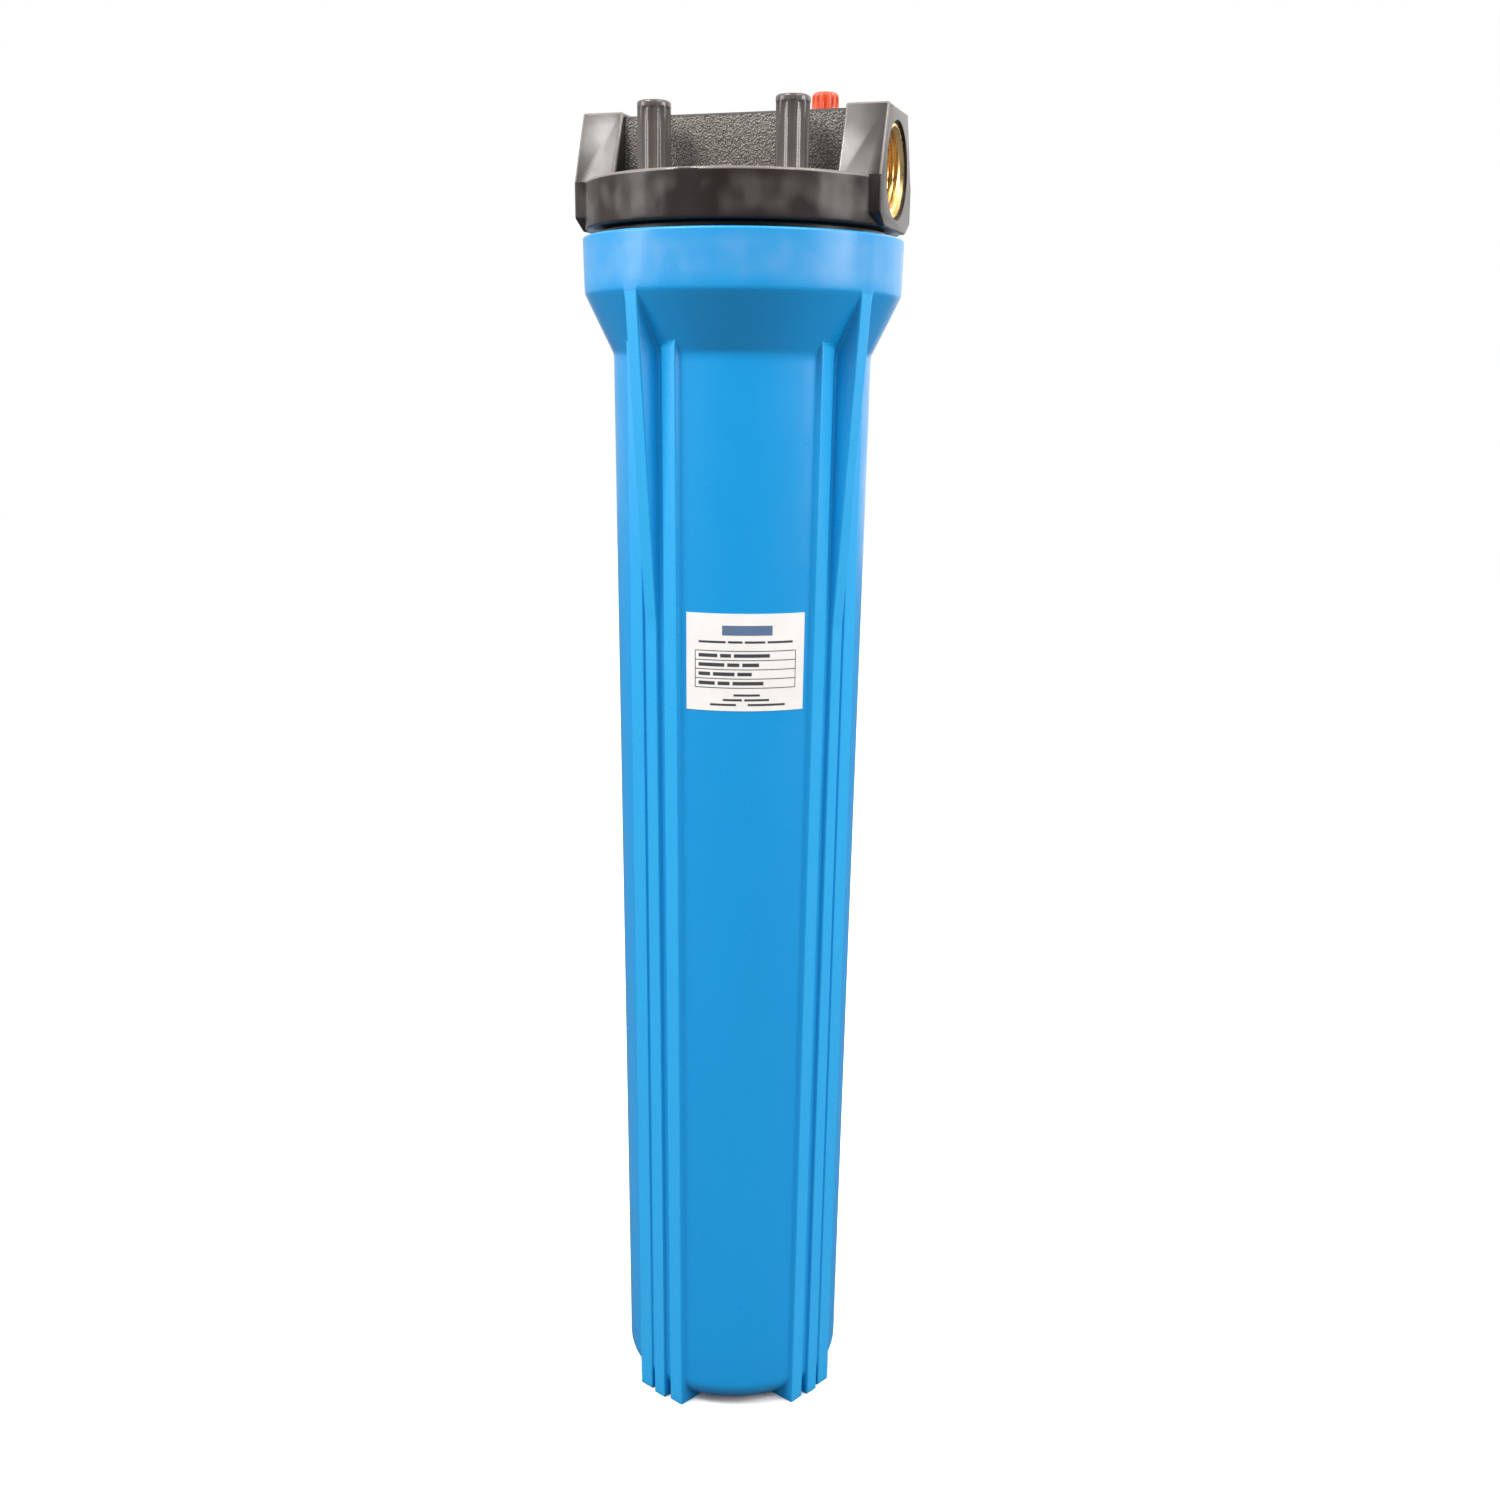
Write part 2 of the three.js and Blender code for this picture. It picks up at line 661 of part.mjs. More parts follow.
const pieces = [
  ["sump", sump(), bluePlastic],
  ["sump_o_ring", sumpRing(), blackRubber],
  ["label", label(), paper],
  ...cartridge(),
  ["head", head(), blackPlastic],
  ["inlet_insert", portInsert(1), brass],
  ["outlet_insert", portInsert(-1), brass],
  ["relief_spring", reliefSpring(), steel],
  ["relief_button", reliefButton(), redPlastic],
  ["relief_stem", reliefStem(), steel],
  ["relief_o_ring", reliefRing(), blackRubber],
];

const housing = new THREE.Group();
for (const [name, shape, material] of pieces) {
  const mesh = new THREE.Mesh(geometryOf(shape), material);
  mesh.name = name;
  housing.add(mesh);
}

export default housing;
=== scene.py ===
"""Cartridge filter housing: fine meshes, materials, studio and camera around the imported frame."""
import json
import math

import bmesh
import bpy
import numpy as np
from mathutils import Matrix, Vector


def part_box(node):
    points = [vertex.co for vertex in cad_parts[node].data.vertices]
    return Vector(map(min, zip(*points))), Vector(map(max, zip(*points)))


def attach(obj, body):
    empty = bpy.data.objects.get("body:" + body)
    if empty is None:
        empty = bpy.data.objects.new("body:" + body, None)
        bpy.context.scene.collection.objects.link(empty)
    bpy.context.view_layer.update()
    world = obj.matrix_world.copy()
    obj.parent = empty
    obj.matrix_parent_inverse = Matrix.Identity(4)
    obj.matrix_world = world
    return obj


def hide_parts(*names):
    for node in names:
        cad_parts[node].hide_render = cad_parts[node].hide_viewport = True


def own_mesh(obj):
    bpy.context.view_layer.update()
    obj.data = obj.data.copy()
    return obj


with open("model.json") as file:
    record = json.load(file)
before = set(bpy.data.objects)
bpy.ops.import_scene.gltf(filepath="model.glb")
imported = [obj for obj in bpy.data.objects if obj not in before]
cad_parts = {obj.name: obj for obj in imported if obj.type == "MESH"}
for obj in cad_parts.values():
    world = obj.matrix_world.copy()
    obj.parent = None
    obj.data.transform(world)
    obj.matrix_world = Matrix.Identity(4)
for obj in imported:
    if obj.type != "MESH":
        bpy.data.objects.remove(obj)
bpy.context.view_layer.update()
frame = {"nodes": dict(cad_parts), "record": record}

# ---------- sizes in millimetres ----------

MM = 0.001
# rings end this far from an axis, so that they keep all their points
AXIS_R = 0.01
SHARP_DEGREES = 35
SUMP_TURN = math.radians(20.75)

SUMP_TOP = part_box("sump")[1].z / MM
SUMP_BOTTOM = 2.5
CORNER = 12.5
BODY_TOP = 500.4
COLLAR_BOTTOM = 525.1
BODY_BOTTOM_R = 52.8
BODY_TOP_R = 56.4
COLLAR_R = 69.2

RIBS = ((-14.3, -6.2), (-3.6, 3.6), (6.2, 14.3))
RIB_REACH = ((53.0, 57.2), (54.2, 58.6), (53.0, 57.2))
RIB_DRAFT = 0.2
RIB_EDGE = 0.8
VALLEY_FILLET = 0.85
PANEL_FILLET = 0.9
GUSSET_START = 387.0
GUSSET_REACH = 68.6
FOOT_INNER = 36.0
FOOT_TOP = 5.5
PANEL_STEPS = 26
SUMP_SHARP_DEGREES = 32

SHOULDER = 522.5
GROOVE_OUTER_R = 61.5
GROOVE_INNER_R = 55.5
GROOVE_FLOOR = 517.5
FLOOR_TOP = 8.0
SEAT_TOP = 16.7
PIN_TOP = 32.0

THREAD_PITCH = 6.35
THREAD_START = 528.2
THREAD_TURNS = 2.6
THREAD_DROP = 2.2
RIDGE_SINK = 0.6
RIDGE_ROOT_HALF = 1.6
RIDGE_CREST_HALF = 0.8
SUMP_BORE_R = 63.4
SUMP_CREST_R = 61.2
SPIGOT_R = 60.6
SPIGOT_CREST_R = 62.8
SPIGOT_INNER_R = 56.0
SPIGOT_END = 523.4

PORT_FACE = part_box("head")[1].x / MM
POST_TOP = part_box("head")[1].z / MM
PORT_HEIGHT = 574.3
FLANGE_BOTTOM = 550.9
FLANGE_TOP = 570.0
FLANGE_R = 68.0
CEILING = 552.5
STANDPIPE_R = 20.0
STANDPIPE_TIP_R = 17.0
STANDPIPE_END = 527.3
STANDPIPE_BORE_R = 11
BRIDGE_TOP = 597.0
BRIDGE_HALF = 15.4
BOSS_TOP = 598.6
BOSS_INNER = 48.5
BOSS_TOP_HALF = 17.3
BOSS_HALF = 28.4
BOSS_FOOT_HALF = 20.0
BOSS_FOOT_TOP = 555.5
PASSAGE_R = 12
INLET_DROP_R = 10
POCKET_R = 18.8
POCKET_DEPTH = 17.8
MOUTH_R = 19.4
MOUTH_DEPTH = 0.8
POST_R = 7.1
POST_PLACES = [(x, y) for x in (-29.8, 29.8) for y in (-29.5, 29.5)]
PILOT_R = 1.9
PILOT_DEPTH = 18
# how far the bridge and the posts reach down into the flange
OVERLAP = 6

RELIEF_X = 35.2
VALVE_SEAT = 584.6
VALVE_BOSS_R = 5.2
STEM_HOLE_R = 2.2
BUTTON_R = 5.8
BUTTON_POCKET_R = 6.2
BUTTON_POCKET_FLOOR = 590.5
SPRING_R = 3.6
SPRING_WIRE = 0.4
SPRING_TURNS = 6

INSERT_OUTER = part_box("inlet_insert")[1].x / MM
INSERT_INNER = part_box("inlet_insert")[0].x / MM
INSERT_R = 18.5
INSERT_BACK_R = 15.6
PIPE_MOUTH_R = 17.1
PIPE_THREAD_R = 16.75
PIPE_THREAD_HEIGHT = 1.25
PIPE_PITCH = 25.4 / 11.5
PIPE_TAPER = 1 / 32

LABEL_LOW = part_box("label")[0].z / MM
LABEL_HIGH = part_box("label")[1].z / MM
LABEL_HALF_ANGLE = 26.3 / 55.5
SHEET_LIFT = (0.02, 0.15)
PRINT_LIFT = (0.12, 0.2)


# ---------- mesh tools ----------


def new_object(name, points, faces, sharp_degrees):
    """A mesh object from points in millimetres, smooth except across sharp edges."""
    mesh = bpy.data.meshes.new(name)
    mesh.from_pydata([tuple(p) for p in np.asarray(points, float) * MM], [], faces)
    return finish_mesh(name, mesh, sharp_degrees)


def finish_mesh(name, mesh, sharp_degrees=SHARP_DEGREES):
    """Joins points that meet, turns all faces outwards and puts the mesh in the scene."""
    shape = bmesh.new()
    shape.from_mesh(mesh)
    bmesh.ops.remove_doubles(shape, verts=shape.verts, dist=1e-7)
    bmesh.ops.recalc_face_normals(shape, faces=shape.faces)
    shape.to_mesh(mesh)
    shape.free()
    obj = bpy.data.objects.new(name, mesh)
    bpy.context.scene.collection.objects.link(obj)
    return smoothed(obj, sharp_degrees)


def smoothed(obj, sharp_degrees):
    obj.data.polygons.foreach_set("use_smooth", [True] * len(obj.data.polygons))
    obj.data.set_sharp_from_angle(angle=math.radians(sharp_degrees))
    return obj


def loft(name, rings, close=False, sharp_degrees=SHARP_DEGREES):
    """Joins rings of the same count: capped at both ends, or closed from the last to the first."""
    count = len(rings[0])
    points = np.concatenate([np.asarray(ring, float) for ring in rings])
    faces = []
    pairs = len(rings) if close else len(rings) - 1
    for i in range(pairs):
        a = i * count
        b = ((i + 1) % len(rings)) * count
        for k in range(count):
            n = (k + 1) % count
            faces.append((a + k, a + n, b + n, b + k))
    if not close:
        faces.append(tuple(range(count)))
        faces.append(tuple(reversed(range(len(points) - count, len(points)))))
    return new_object(name, points, faces, sharp_degrees)


def circle(radius, z, count, centre=(0.0, 0.0)):
    angle = np.linspace(0, 2 * math.pi, count, endpoint=False)
    x = centre[0] + radius * np.cos(angle)
    y = centre[1] + radius * np.sin(angle)
    return np.stack([x, y, np.full(count, float(z))], 1)


def lathe(name, profile, count, centre=(0.0, 0.0)):
    """Revolves (radius, z) points about a vertical axis."""
    return loft(name, [circle(r, z, count, centre) for r, z in profile])


def rounded(profile, radius, steps):
    """Rounds each corner of a polyline of (a, b) points, apart from its two ends."""
    out = [profile[0]]
    for before, corner, after in zip(profile, profile[1:], profile[2:]):
        corner = np.array(corner, float)
        back = np.array(before, float) - corner
        ahead = np.array(after, float) - corner
        reach = min(radius, np.linalg.norm(back) * 0.45, np.linalg.norm(ahead) * 0.45)
        start = corner + back / np.linalg.norm(back) * reach
        end = corner + ahead / np.linalg.norm(ahead) * reach
        for t in np.linspace(0, 1, steps + 1):
            curve = (1 - t) ** 2 * start + 2 * t * (1 - t) * corner + t**2 * end
            out.append(tuple(curve))
    out.append(profile[-1])
    return out


def prism(name, outline, low, high, bevel):
    """Extrudes an outline of (y, z) points along X from low to high, with rounded edges."""
    rings = [[(x, y, z) for y, z in outline] for x in (low, high)]
    return bevelled(loft(name, rings), bevel)


def bevelled(obj, width):
    modifier = obj.modifiers.new("edge", "BEVEL")
    modifier.width = width * MM
    modifier.segments = 3
    modifier.limit_method = "ANGLE"
    modifier.angle_limit = math.radians(25)
    return applied(obj)


def applied(obj):
    """Makes an object's modifiers part of its mesh."""
    graph = bpy.context.evaluated_depsgraph_get()
    mesh = bpy.data.meshes.new_from_object(obj.evaluated_get(graph))
    obj.modifiers.clear()
    obj.data = mesh
    return obj


def combine(obj, others, operation):
    """Boolean of obj with each of the others, which are used up."""
    for other in others:
        modifier = obj.modifiers.new("join", "BOOLEAN")
        modifier.operation = operation
        modifier.solver = "EXACT"
        modifier.object = other
        bpy.context.view_layer.update()
        applied(obj)
        bpy.data.objects.remove(other)
    return obj


def along_x(obj, side, height):
    """Turns a part made about the Z axis so that its axis lies along the ports."""
    turn = Matrix.Rotation(side * math.pi / 2, 4, "Y")
    obj.data.transform(Matrix.Translation((0, 0, height * MM)) @ turn)
    return obj


# ---------- materials ----------


class Nodes:
    """Short forms for building one material's node tree."""

    def __init__(self, name):
        self.material = bpy.data.materials.new(name)
        self.material.use_nodes = True
        self.tree = self.material.node_tree
        self.shader = self.tree.nodes["Principled BSDF"]
        coordinates = self.tree.nodes.new("ShaderNodeTexCoord")
        self.place = coordinates.outputs["Object"]

    def add(self, kind, **inputs):
        node = self.tree.nodes.new(kind)
        for key, value in inputs.items():
            self.feed(node.inputs[key.replace("_", " ")], value)
        return node

    def feed(self, socket, value):
        if isinstance(value, bpy.types.NodeSocket):
            self.tree.links.new(value, socket)
        else:
            socket.default_value = value

    def noise(self, scale, detail, roughness=0.55, stretch=None):
        place = self.place
        if stretch:
            mapping = self.add("ShaderNodeMapping", Vector=self.place)
            mapping.inputs["Scale"].default_value = stretch
            place = mapping.outputs[0]
        node = self.add("ShaderNodeTexNoise", Vector=place, Scale=scale, Detail=detail)
        node.inputs["Roughness"].default_value = roughness
        return node.outputs["Fac"]

    def voronoi(self, scale):
        node = self.add("ShaderNodeTexVoronoi", Vector=self.place, Scale=scale)
        node.feature = "SMOOTH_F1"
        return node.outputs["Distance"]

    def spread(self, value, low, high, start=0.3, end=0.7):
        node = self.add("ShaderNodeMapRange", Value=value)
        ends = {"From Min": start, "From Max": end, "To Min": low, "To Max": high}
        for key, number in ends.items():
            node.inputs[key].default_value = number
        return node.outputs[0]

    def ramp(self, value, colours, start=0.3, end=0.7):
        node = self.add("ShaderNodeValToRGB", Fac=value)
        stops = node.color_ramp.elements
        for stop, colour, place in zip(stops, colours, (start, end)):
            stop.color = (*colour, 1)
            stop.position = place
        return node.outputs[0]

    def mix(self, factor, a, b):
        node = self.tree.nodes.new("ShaderNodeMix")
        node.data_type = "RGBA"
        self.feed(node.inputs[0], factor)
        self.feed(node.inputs[6], a)
        self.feed(node.inputs[7], b)
        return node.outputs[2]

    def maths(self, operation, a, b=0.0):
        node = self.tree.nodes.new("ShaderNodeMath")
        node.operation = operation
        self.feed(node.inputs[0], a)
        self.feed(node.inputs[1], b)
        return node.outputs[0]

    def bump(self, height, distance_mm, strength, under=None):
        distance = distance_mm * MM
        node = self.add("ShaderNodeBump", Height=height, Strength=strength, Distance=distance)
        if under is not None:
            self.feed(node.inputs["Normal"], under)
        return node.outputs[0]

    def set(self, **values):
        for key, value in values.items():
            self.feed(self.shader.inputs[key.replace("_", " ")], value)
        return self.material


def shade(colour, factor):
    return tuple(min(1.0, channel * factor) for channel in colour)


def painted_reflection_patches(n, base, tone, low, high, strength, clear):
    """Pale cloudy patches half way up a wall: a painted reflection of the room's light."""
    height = n.add("ShaderNodeSeparateXYZ", Vector=n.place).outputs["Z"]
    away = n.maths("ABSOLUTE", n.maths("SUBTRACT", height, (low + high) / 2 * MM))
    band = n.spread(away, 1.0, 0.0, (high - low) / 5 * MM, (high - low) / 2 * MM)
    painted_reflection_clouds = n.spread(n.noise(80, 1, stretch=(1, 1, 0.7)), clear, 1.0, 0.46, 0.64)
    factor = n.maths("MULTIPLY", n.maths("MULTIPLY", band, painted_reflection_clouds), strength)
    return n.mix(factor, base, (*tone, 1))


def moulded_plastic(
    name, colour, rough=(0.32, 0.46), variation=0.06, grain=0.012, waves=0.0, painted_reflection_clouds=None, shine=0.5
):
    """Injection moulded plastic: faint flow marks, fine grain, broad sink waves, and pale patches
    of painted reflection.
    """
    n = Nodes(name)
    flow = n.noise(14, 3, stretch=(1, 1, 0.25))
    base = n.ramp(flow, (shade(colour, 1 - variation), shade(colour, 1 + variation)))
    # pale patches of painted reflection mixed into the colour
    if painted_reflection_clouds:
        base = painted_reflection_patches(n, base, *painted_reflection_clouds)
    roughness = n.spread(n.noise(55, 4), rough[0], rough[1])
    normal = n.bump(n.noise(700, 1), grain, 0.5)
    if waves:
        normal = n.bump(n.noise(70, 1, 0.4), waves, 1.0, normal)
    return n.set(Base_Color=base, Roughness=roughness, Normal=normal, Specular_IOR_Level=shine)


def pebbled_plastic(name, colour):
    """The same plastic with the tool's spark-eroded pebble texture, painted a lighter grey as a
    painted sheen, with painted highlights and painted shade spotted over the pebbles.
    """
    n = Nodes(name)
    pebbles = n.voronoi(1350)
    # painted highlights on the pebbles and painted shade between them
    painted_sheen_and_shade = n.ramp(pebbles, (shade(colour, 1.7), shade(colour, 0.6)), 0.05, 0.6)
    roughness = n.spread(n.noise(400, 2), 0.26, 0.40)
    normal = n.bump(n.noise(1700, 2), 0.2, 0.8)
    normal = n.bump(pebbles, 0.42, 1.0, normal)
    return n.set(Base_Color=painted_sheen_and_shade, Roughness=roughness, Normal=normal)


def metal(name, colour):
    n = Nodes(name)
    tone = n.ramp(n.noise(90, 4), (shade(colour, 0.86), shade(colour, 1.08)))
    roughness = n.spread(n.noise(240, 3), 0.22, 0.36)
    normal = n.bump(n.noise(1500, 2, stretch=(1, 0.2, 0.2)), 0.02, 0.5)
    n.shader.inputs["Metallic"].default_value = 1.0
    return n.set(Base_Color=tone, Roughness=roughness, Normal=normal)


def soft_rubber(name, colour):
    n = Nodes(name)
    tone = n.ramp(n.noise(160, 4), (shade(colour, 0.8), shade(colour, 1.25)))
    roughness = n.spread(n.noise(300, 3), 0.55, 0.8)
    return n.set(Base_Color=tone, Roughness=roughness, Normal=n.bump(n.noise(1800, 3), 0.03, 0.6))


def coated_paper(name, colour):
    n = Nodes(name)
    tone = n.ramp(n.noise(60, 5), (shade(colour, 0.95), shade(colour, 1.03)))
    fibres = n.noise(1500, 3, stretch=(1, 1, 0.3))
    roughness = n.spread(n.noise(220, 3), 0.42, 0.58)
    return n.set(Base_Color=tone, Roughness=roughness, Normal=n.bump(fibres, 0.02, 0.5))


def pleated_fabric(name, colour):
    n = Nodes(name)
    fibres = n.noise(900, 6, 0.7)
    tone = n.ramp(fibres, (shade(colour, 0.88), shade(colour, 1.05)))
    roughness = n.spread(fibres, 0.8, 0.95)
    return n.set(Base_Color=tone, Roughness=roughness, Normal=n.bump(fibres, 0.12, 0.8))


BLUE = (0.005, 0.297, 0.69)
# painted highlight: a paler copy of the blue for the rib tips
RIB_TIP_HIGHLIGHT_BLUE = (0.020, 0.375, 0.78)
BLACK = (0.020, 0.017, 0.016)
# painted sheen: the posts and the pebbled walls are the head's black plastic, painted lighter grey
POST_SHEEN_GREY = (0.080, 0.071, 0.066)
PEBBLE_SHEEN_GREY = (0.12, 0.11, 0.10)
# painted highlight: a lighter grey for the black head's rounded edges
EDGE_HIGHLIGHT_GREY = (0.17, 0.155, 0.145)
BUTTON_RED = (0.62, 0.075, 0.022)
# painted reflection patches: their tone, lowest and highest place, strength, and the part of it
# that is everywhere
COLLAR_PAINTED_REFLECTION = ((0.80, 0.78, 0.76), COLLAR_BOTTOM, SUMP_TOP + 1, 0.08, 0.5)
FLANGE_PAINTED_REFLECTION = ((0.40, 0.37, 0.36), FLANGE_BOTTOM, FLANGE_TOP, 0.12, 0.0)
MATERIALS = {
    # the blue has a band of painted reflection round the collar
    "sump": moulded_plastic(
        "blue_polypropylene", BLUE, rough=(0.26, 0.36), variation=0.03, grain=0.01,
        painted_reflection_clouds=COLLAR_PAINTED_REFLECTION
    ),
    # painted highlight on the rib tips
    "rib_tip_highlights": moulded_plastic(
        "blue_rib_tips_painted_highlight", RIB_TIP_HIGHLIGHT_BLUE, rough=(0.24, 0.34), variation=0.03, grain=0.01
    ),
    "head": moulded_plastic(
        "black_polypropylene", BLACK, rough=(0.26, 0.38), variation=0.12, grain=0.02, waves=0.3
    ),
    # painted highlight on the head's rounded edges
    "edges": moulded_plastic(
        "black_edges_painted_highlight", EDGE_HIGHLIGHT_GREY, rough=(0.20, 0.30), variation=0.12, grain=0.02, shine=0.7
    ),
    # the flange's black has pale patches of painted reflection on its round wall
    "flange": moulded_plastic(
        "black_painted_reflection", BLACK, rough=(0.24, 0.34), variation=0.12, grain=0.02, waves=0.4,
        painted_reflection_clouds=FLANGE_PAINTED_REFLECTION, shine=0.26
    ),
    "pebbles": pebbled_plastic("black_pebbled_painted_sheen", PEBBLE_SHEEN_GREY),
    # painted sheen: the fluted posts are the head's black, painted lighter
    "posts": moulded_plastic(
        "black_fluted_painted_sheen", POST_SHEEN_GREY, rough=(0.15, 0.23), variation=0.12, grain=0.02, shine=0.65
    ),
    "button": moulded_plastic("orange_red_plastic", BUTTON_RED, rough=(0.18, 0.30)),
    "label": coated_paper("label_paper", (0.84, 0.83, 0.82)),
    "ink": coated_paper("label_ink", (0.045, 0.05, 0.06)),
    "header": coated_paper("label_header", (0.10, 0.16, 0.28)),
    "brass": metal("machined_brass", (1.0, 0.70, 0.32)),
    "steel": metal("spring_steel", (0.62, 0.63, 0.65)),
    "seal": soft_rubber("black_rubber", (0.012, 0.012, 0.012)),
    "cartridge_gasket": soft_rubber("white_rubber", (0.70, 0.70, 0.66)),
    "cartridge_plastic": moulded_plastic("white_polypropylene", (0.78, 0.78, 0.74)),
    "cartridge_media": pleated_fabric("pleated_polyester", (0.84, 0.82, 0.75)),
}


def dress(obj, *names):
    obj.data.materials.clear()
    for name in names:
        obj.data.materials.append(MATERIALS[name])
    return obj


def place(obj, body, node, slot=None):
    """Puts a fine piece in the frame in place of a CAD node."""
    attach(obj, body)
    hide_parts(node)
    slot or node
    return obj


# ---------- sump ----------


def body_radius(z):
    bottom = SUMP_BOTTOM + CORNER
    return BODY_BOTTOM_R + (BODY_TOP_R - BODY_BOTTOM_R) * (z - bottom) / (BODY_TOP - bottom)


def rib_reach(index, z):
    """How far a rib's flat tip is from the axis; the middle rib leans out to the collar."""
    low, high = RIB_REACH[index]
    if index != 1 or z <= GUSSET_START:
        return low + (high - low) * z / BODY_TOP
    part = min(1.0, (z - GUSSET_START) / (COLLAR_BOTTOM - GUSSET_START))
    start = rib_reach(index, GUSSET_START)
    return start + (GUSSET_REACH - start) * part


def rib_edge(side, fillet):
    """One flank of a rib, from the valley up to its tip: (offset from the wall, level, part)."""
    steps = 5
    flank = []
    for angle in np.linspace(0, math.pi / 2, steps + 1):
        flank.append((fillet - fillet * math.sin(angle) + RIB_DRAFT, "root", 1 - math.cos(angle)))
    flank += [(RIB_DRAFT * 0.9, "root", 1.12), (RIB_DRAFT * 0.1, "tip", 1.12)]
    for angle in np.linspace(0, math.pi / 2, steps + 1):
        flank.append((-RIB_EDGE + RIB_EDGE * math.cos(angle), "tip", 1 - math.sin(angle)))
    flank.append((-RIB_EDGE - 0.4, "tip", 0.0))
    return flank if side < 0 else flank[::-1]


def cluster_samples():
    """The points across one cluster: (lateral place, rib, fillet, level, part)."""
    samples = []
    for index, (start, end) in enumerate(RIBS):
        for side, wall in ((-1, start), (1, end)):
            outer = wall in (RIBS[0][0], RIBS[-1][1])
            fillet = PANEL_FILLET if outer else VALLEY_FILLET
            for away, level, part in rib_edge(side, fillet):
                samples.append((wall + side * away, index, fillet, level, part))
            if side < 0:
                samples.append(((start + end) / 2, index, fillet, "tip", 0.0))
        if index < 2:
            samples.append(((end + RIBS[index + 1][0]) / 2, index, 0.0, "root", 0.0))
    return samples


CLUSTER = cluster_samples()


def sump_outline(radius, z):
    """The sump's outside at one height: a circle with four clusters of three ribs."""
    points = []
    reach = [rib_reach(index, z) for index in range(3)]
    for quarter in range(4):
        diagonal = SUMP_TURN + math.pi / 4 + quarter * math.pi / 2
        ahead = np.array([math.cos(diagonal), math.sin(diagonal)])
        across = np.array([-math.sin(diagonal), math.cos(diagonal)])
        for lateral, index, fillet, level, part in CLUSTER:
            base = math.sqrt(radius**2 - lateral**2)
            rise = max(0.0, reach[index] - base)
            if level == "root":
                height = min(fillet, 0.45 * rise) * part
            else:
                height = rise - min(RIB_EDGE, 0.35 * rise) * part
            points.append(ahead * (base + height) + across * lateral)
        edge = math.asin(CLUSTER[-1][0] / radius)
        for angle in np.linspace(edge, math.pi / 2 - edge, PANEL_STEPS)[1:-1]:
            points.append(radius * (ahead * math.cos(angle) + across * math.sin(angle)))
    flat = np.array(points)
    return np.column_stack([flat, np.full(len(flat), float(z))])


def outside_levels():
    """(radius, height) from the bottom edge of the sump up to the outer edge of the collar."""
    levels = []
    for angle in np.linspace(-math.pi / 2, 0, 11):
        radius = BODY_BOTTOM_R - CORNER + CORNER * math.cos(angle)
        levels.append((radius, SUMP_BOTTOM + CORNER + CORNER * math.sin(angle)))
    heights = [*range(40, 381, 20), GUSSET_START - 3, GUSSET_START, GUSSET_START + 3]
    heights += [*range(400, 481, 16), 490, 497, BODY_TOP - 0.7]
    levels += [(body_radius(z), z) for z in heights]
    cone = [(BODY_TOP_R, BODY_TOP), (COLLAR_R - 0.9, COLLAR_BOTTOM - 0.6)]
    for part in (0.03, *np.linspace(0.08, 0.42, 15), *np.linspace(0.5, 1.0, 8)):
        levels.append(tuple(np.array(cone[0]) * (1 - part) + np.array(cone[1]) * part))
    levels += [(COLLAR_R - 0.65, COLLAR_BOTTOM + 0.1), (COLLAR_R - 0.55, COLLAR_BOTTOM + 0.9)]
    for part in np.linspace(0.1, 0.95, 10):
        z = COLLAR_BOTTOM + part * (SUMP_TOP - COLLAR_BOTTOM)
        levels.append((COLLAR_R - 0.5 + 0.5 * part, z))
    for angle in np.linspace(15, 90, 6):
        turn = math.radians(angle)
        levels.append((COLLAR_R - 1 + math.cos(turn), SUMP_TOP - 1 + math.sin(turn)))
    return levels


# (radius, height) down the sump's inside: bore, O-ring groove, wall, floor, knife edge, pin
INSIDE = [
    (64.4, SUMP_TOP), (SUMP_BORE_R, SUMP_TOP - 1), (SUMP_BORE_R, SHOULDER + 0.5),
    (SUMP_BORE_R - 0.5, SHOULDER), (GROOVE_OUTER_R, SHOULDER), (GROOVE_OUTER_R, GROOVE_FLOOR),
    (GROOVE_INNER_R, GROOVE_FLOOR), (GROOVE_INNER_R, SHOULDER), (51.9, SHOULDER),
    (51.4, SHOULDER - 0.5), (47.8, 20.0), (47.2, 14.0), (44.6, 10.0), (39.8, FLOOR_TOP),
    (24.0, FLOOR_TOP), (24.0, SEAT_TOP), (18.2, SEAT_TOP), (17.6, SEAT_TOP + 1), (17.0, SEAT_TOP),
    (12.4, SEAT_TOP), (11.8, 28.0), (8.4, PIN_TOP), (AXIS_R, PIN_TOP),
]


def sump_shell():
    rings = [sump_outline(radius, z) for radius, z in outside_levels()]
    bearing = np.arctan2(rings[-1][:, 1], rings[-1][:, 0])
    around = np.column_stack([np.cos(bearing), np.sin(bearing)])

    def ring(radius, z):
        return np.column_stack([around * radius, np.full(len(around), z)])

    under = [ring(radius, SUMP_BOTTOM) for radius in (AXIS_R, 30.0)]
    rings += [ring(radius, z) for radius, z in INSIDE]
    return loft("sump_moulding", under + rings, sharp_degrees=SUMP_SHARP_DEGREES)


def toes():
    """The rib ends that stand below the sump's bottom."""
    inset = 0.06
    made = []
    for quarter in range(4):
        for (start, end), (bottom_reach, _) in zip(RIBS, RIB_REACH):
            reach = bottom_reach - inset
            outline = [(FOOT_INNER, FOOT_TOP), (FOOT_INNER + 1, 0), (reach, 0), (reach, FOOT_TOP)]
            toe = prism("toe", outline, start + inset, end - inset, 0.5)
            turn = SUMP_TURN + math.pi / 4 + quarter * math.pi / 2
            # outline y runs along the diagonal, the extrusion across it
            toe.data.transform(Matrix.Rotation(turn - math.pi / 2, 4, "Z"))
            made.append(toe)
    return made


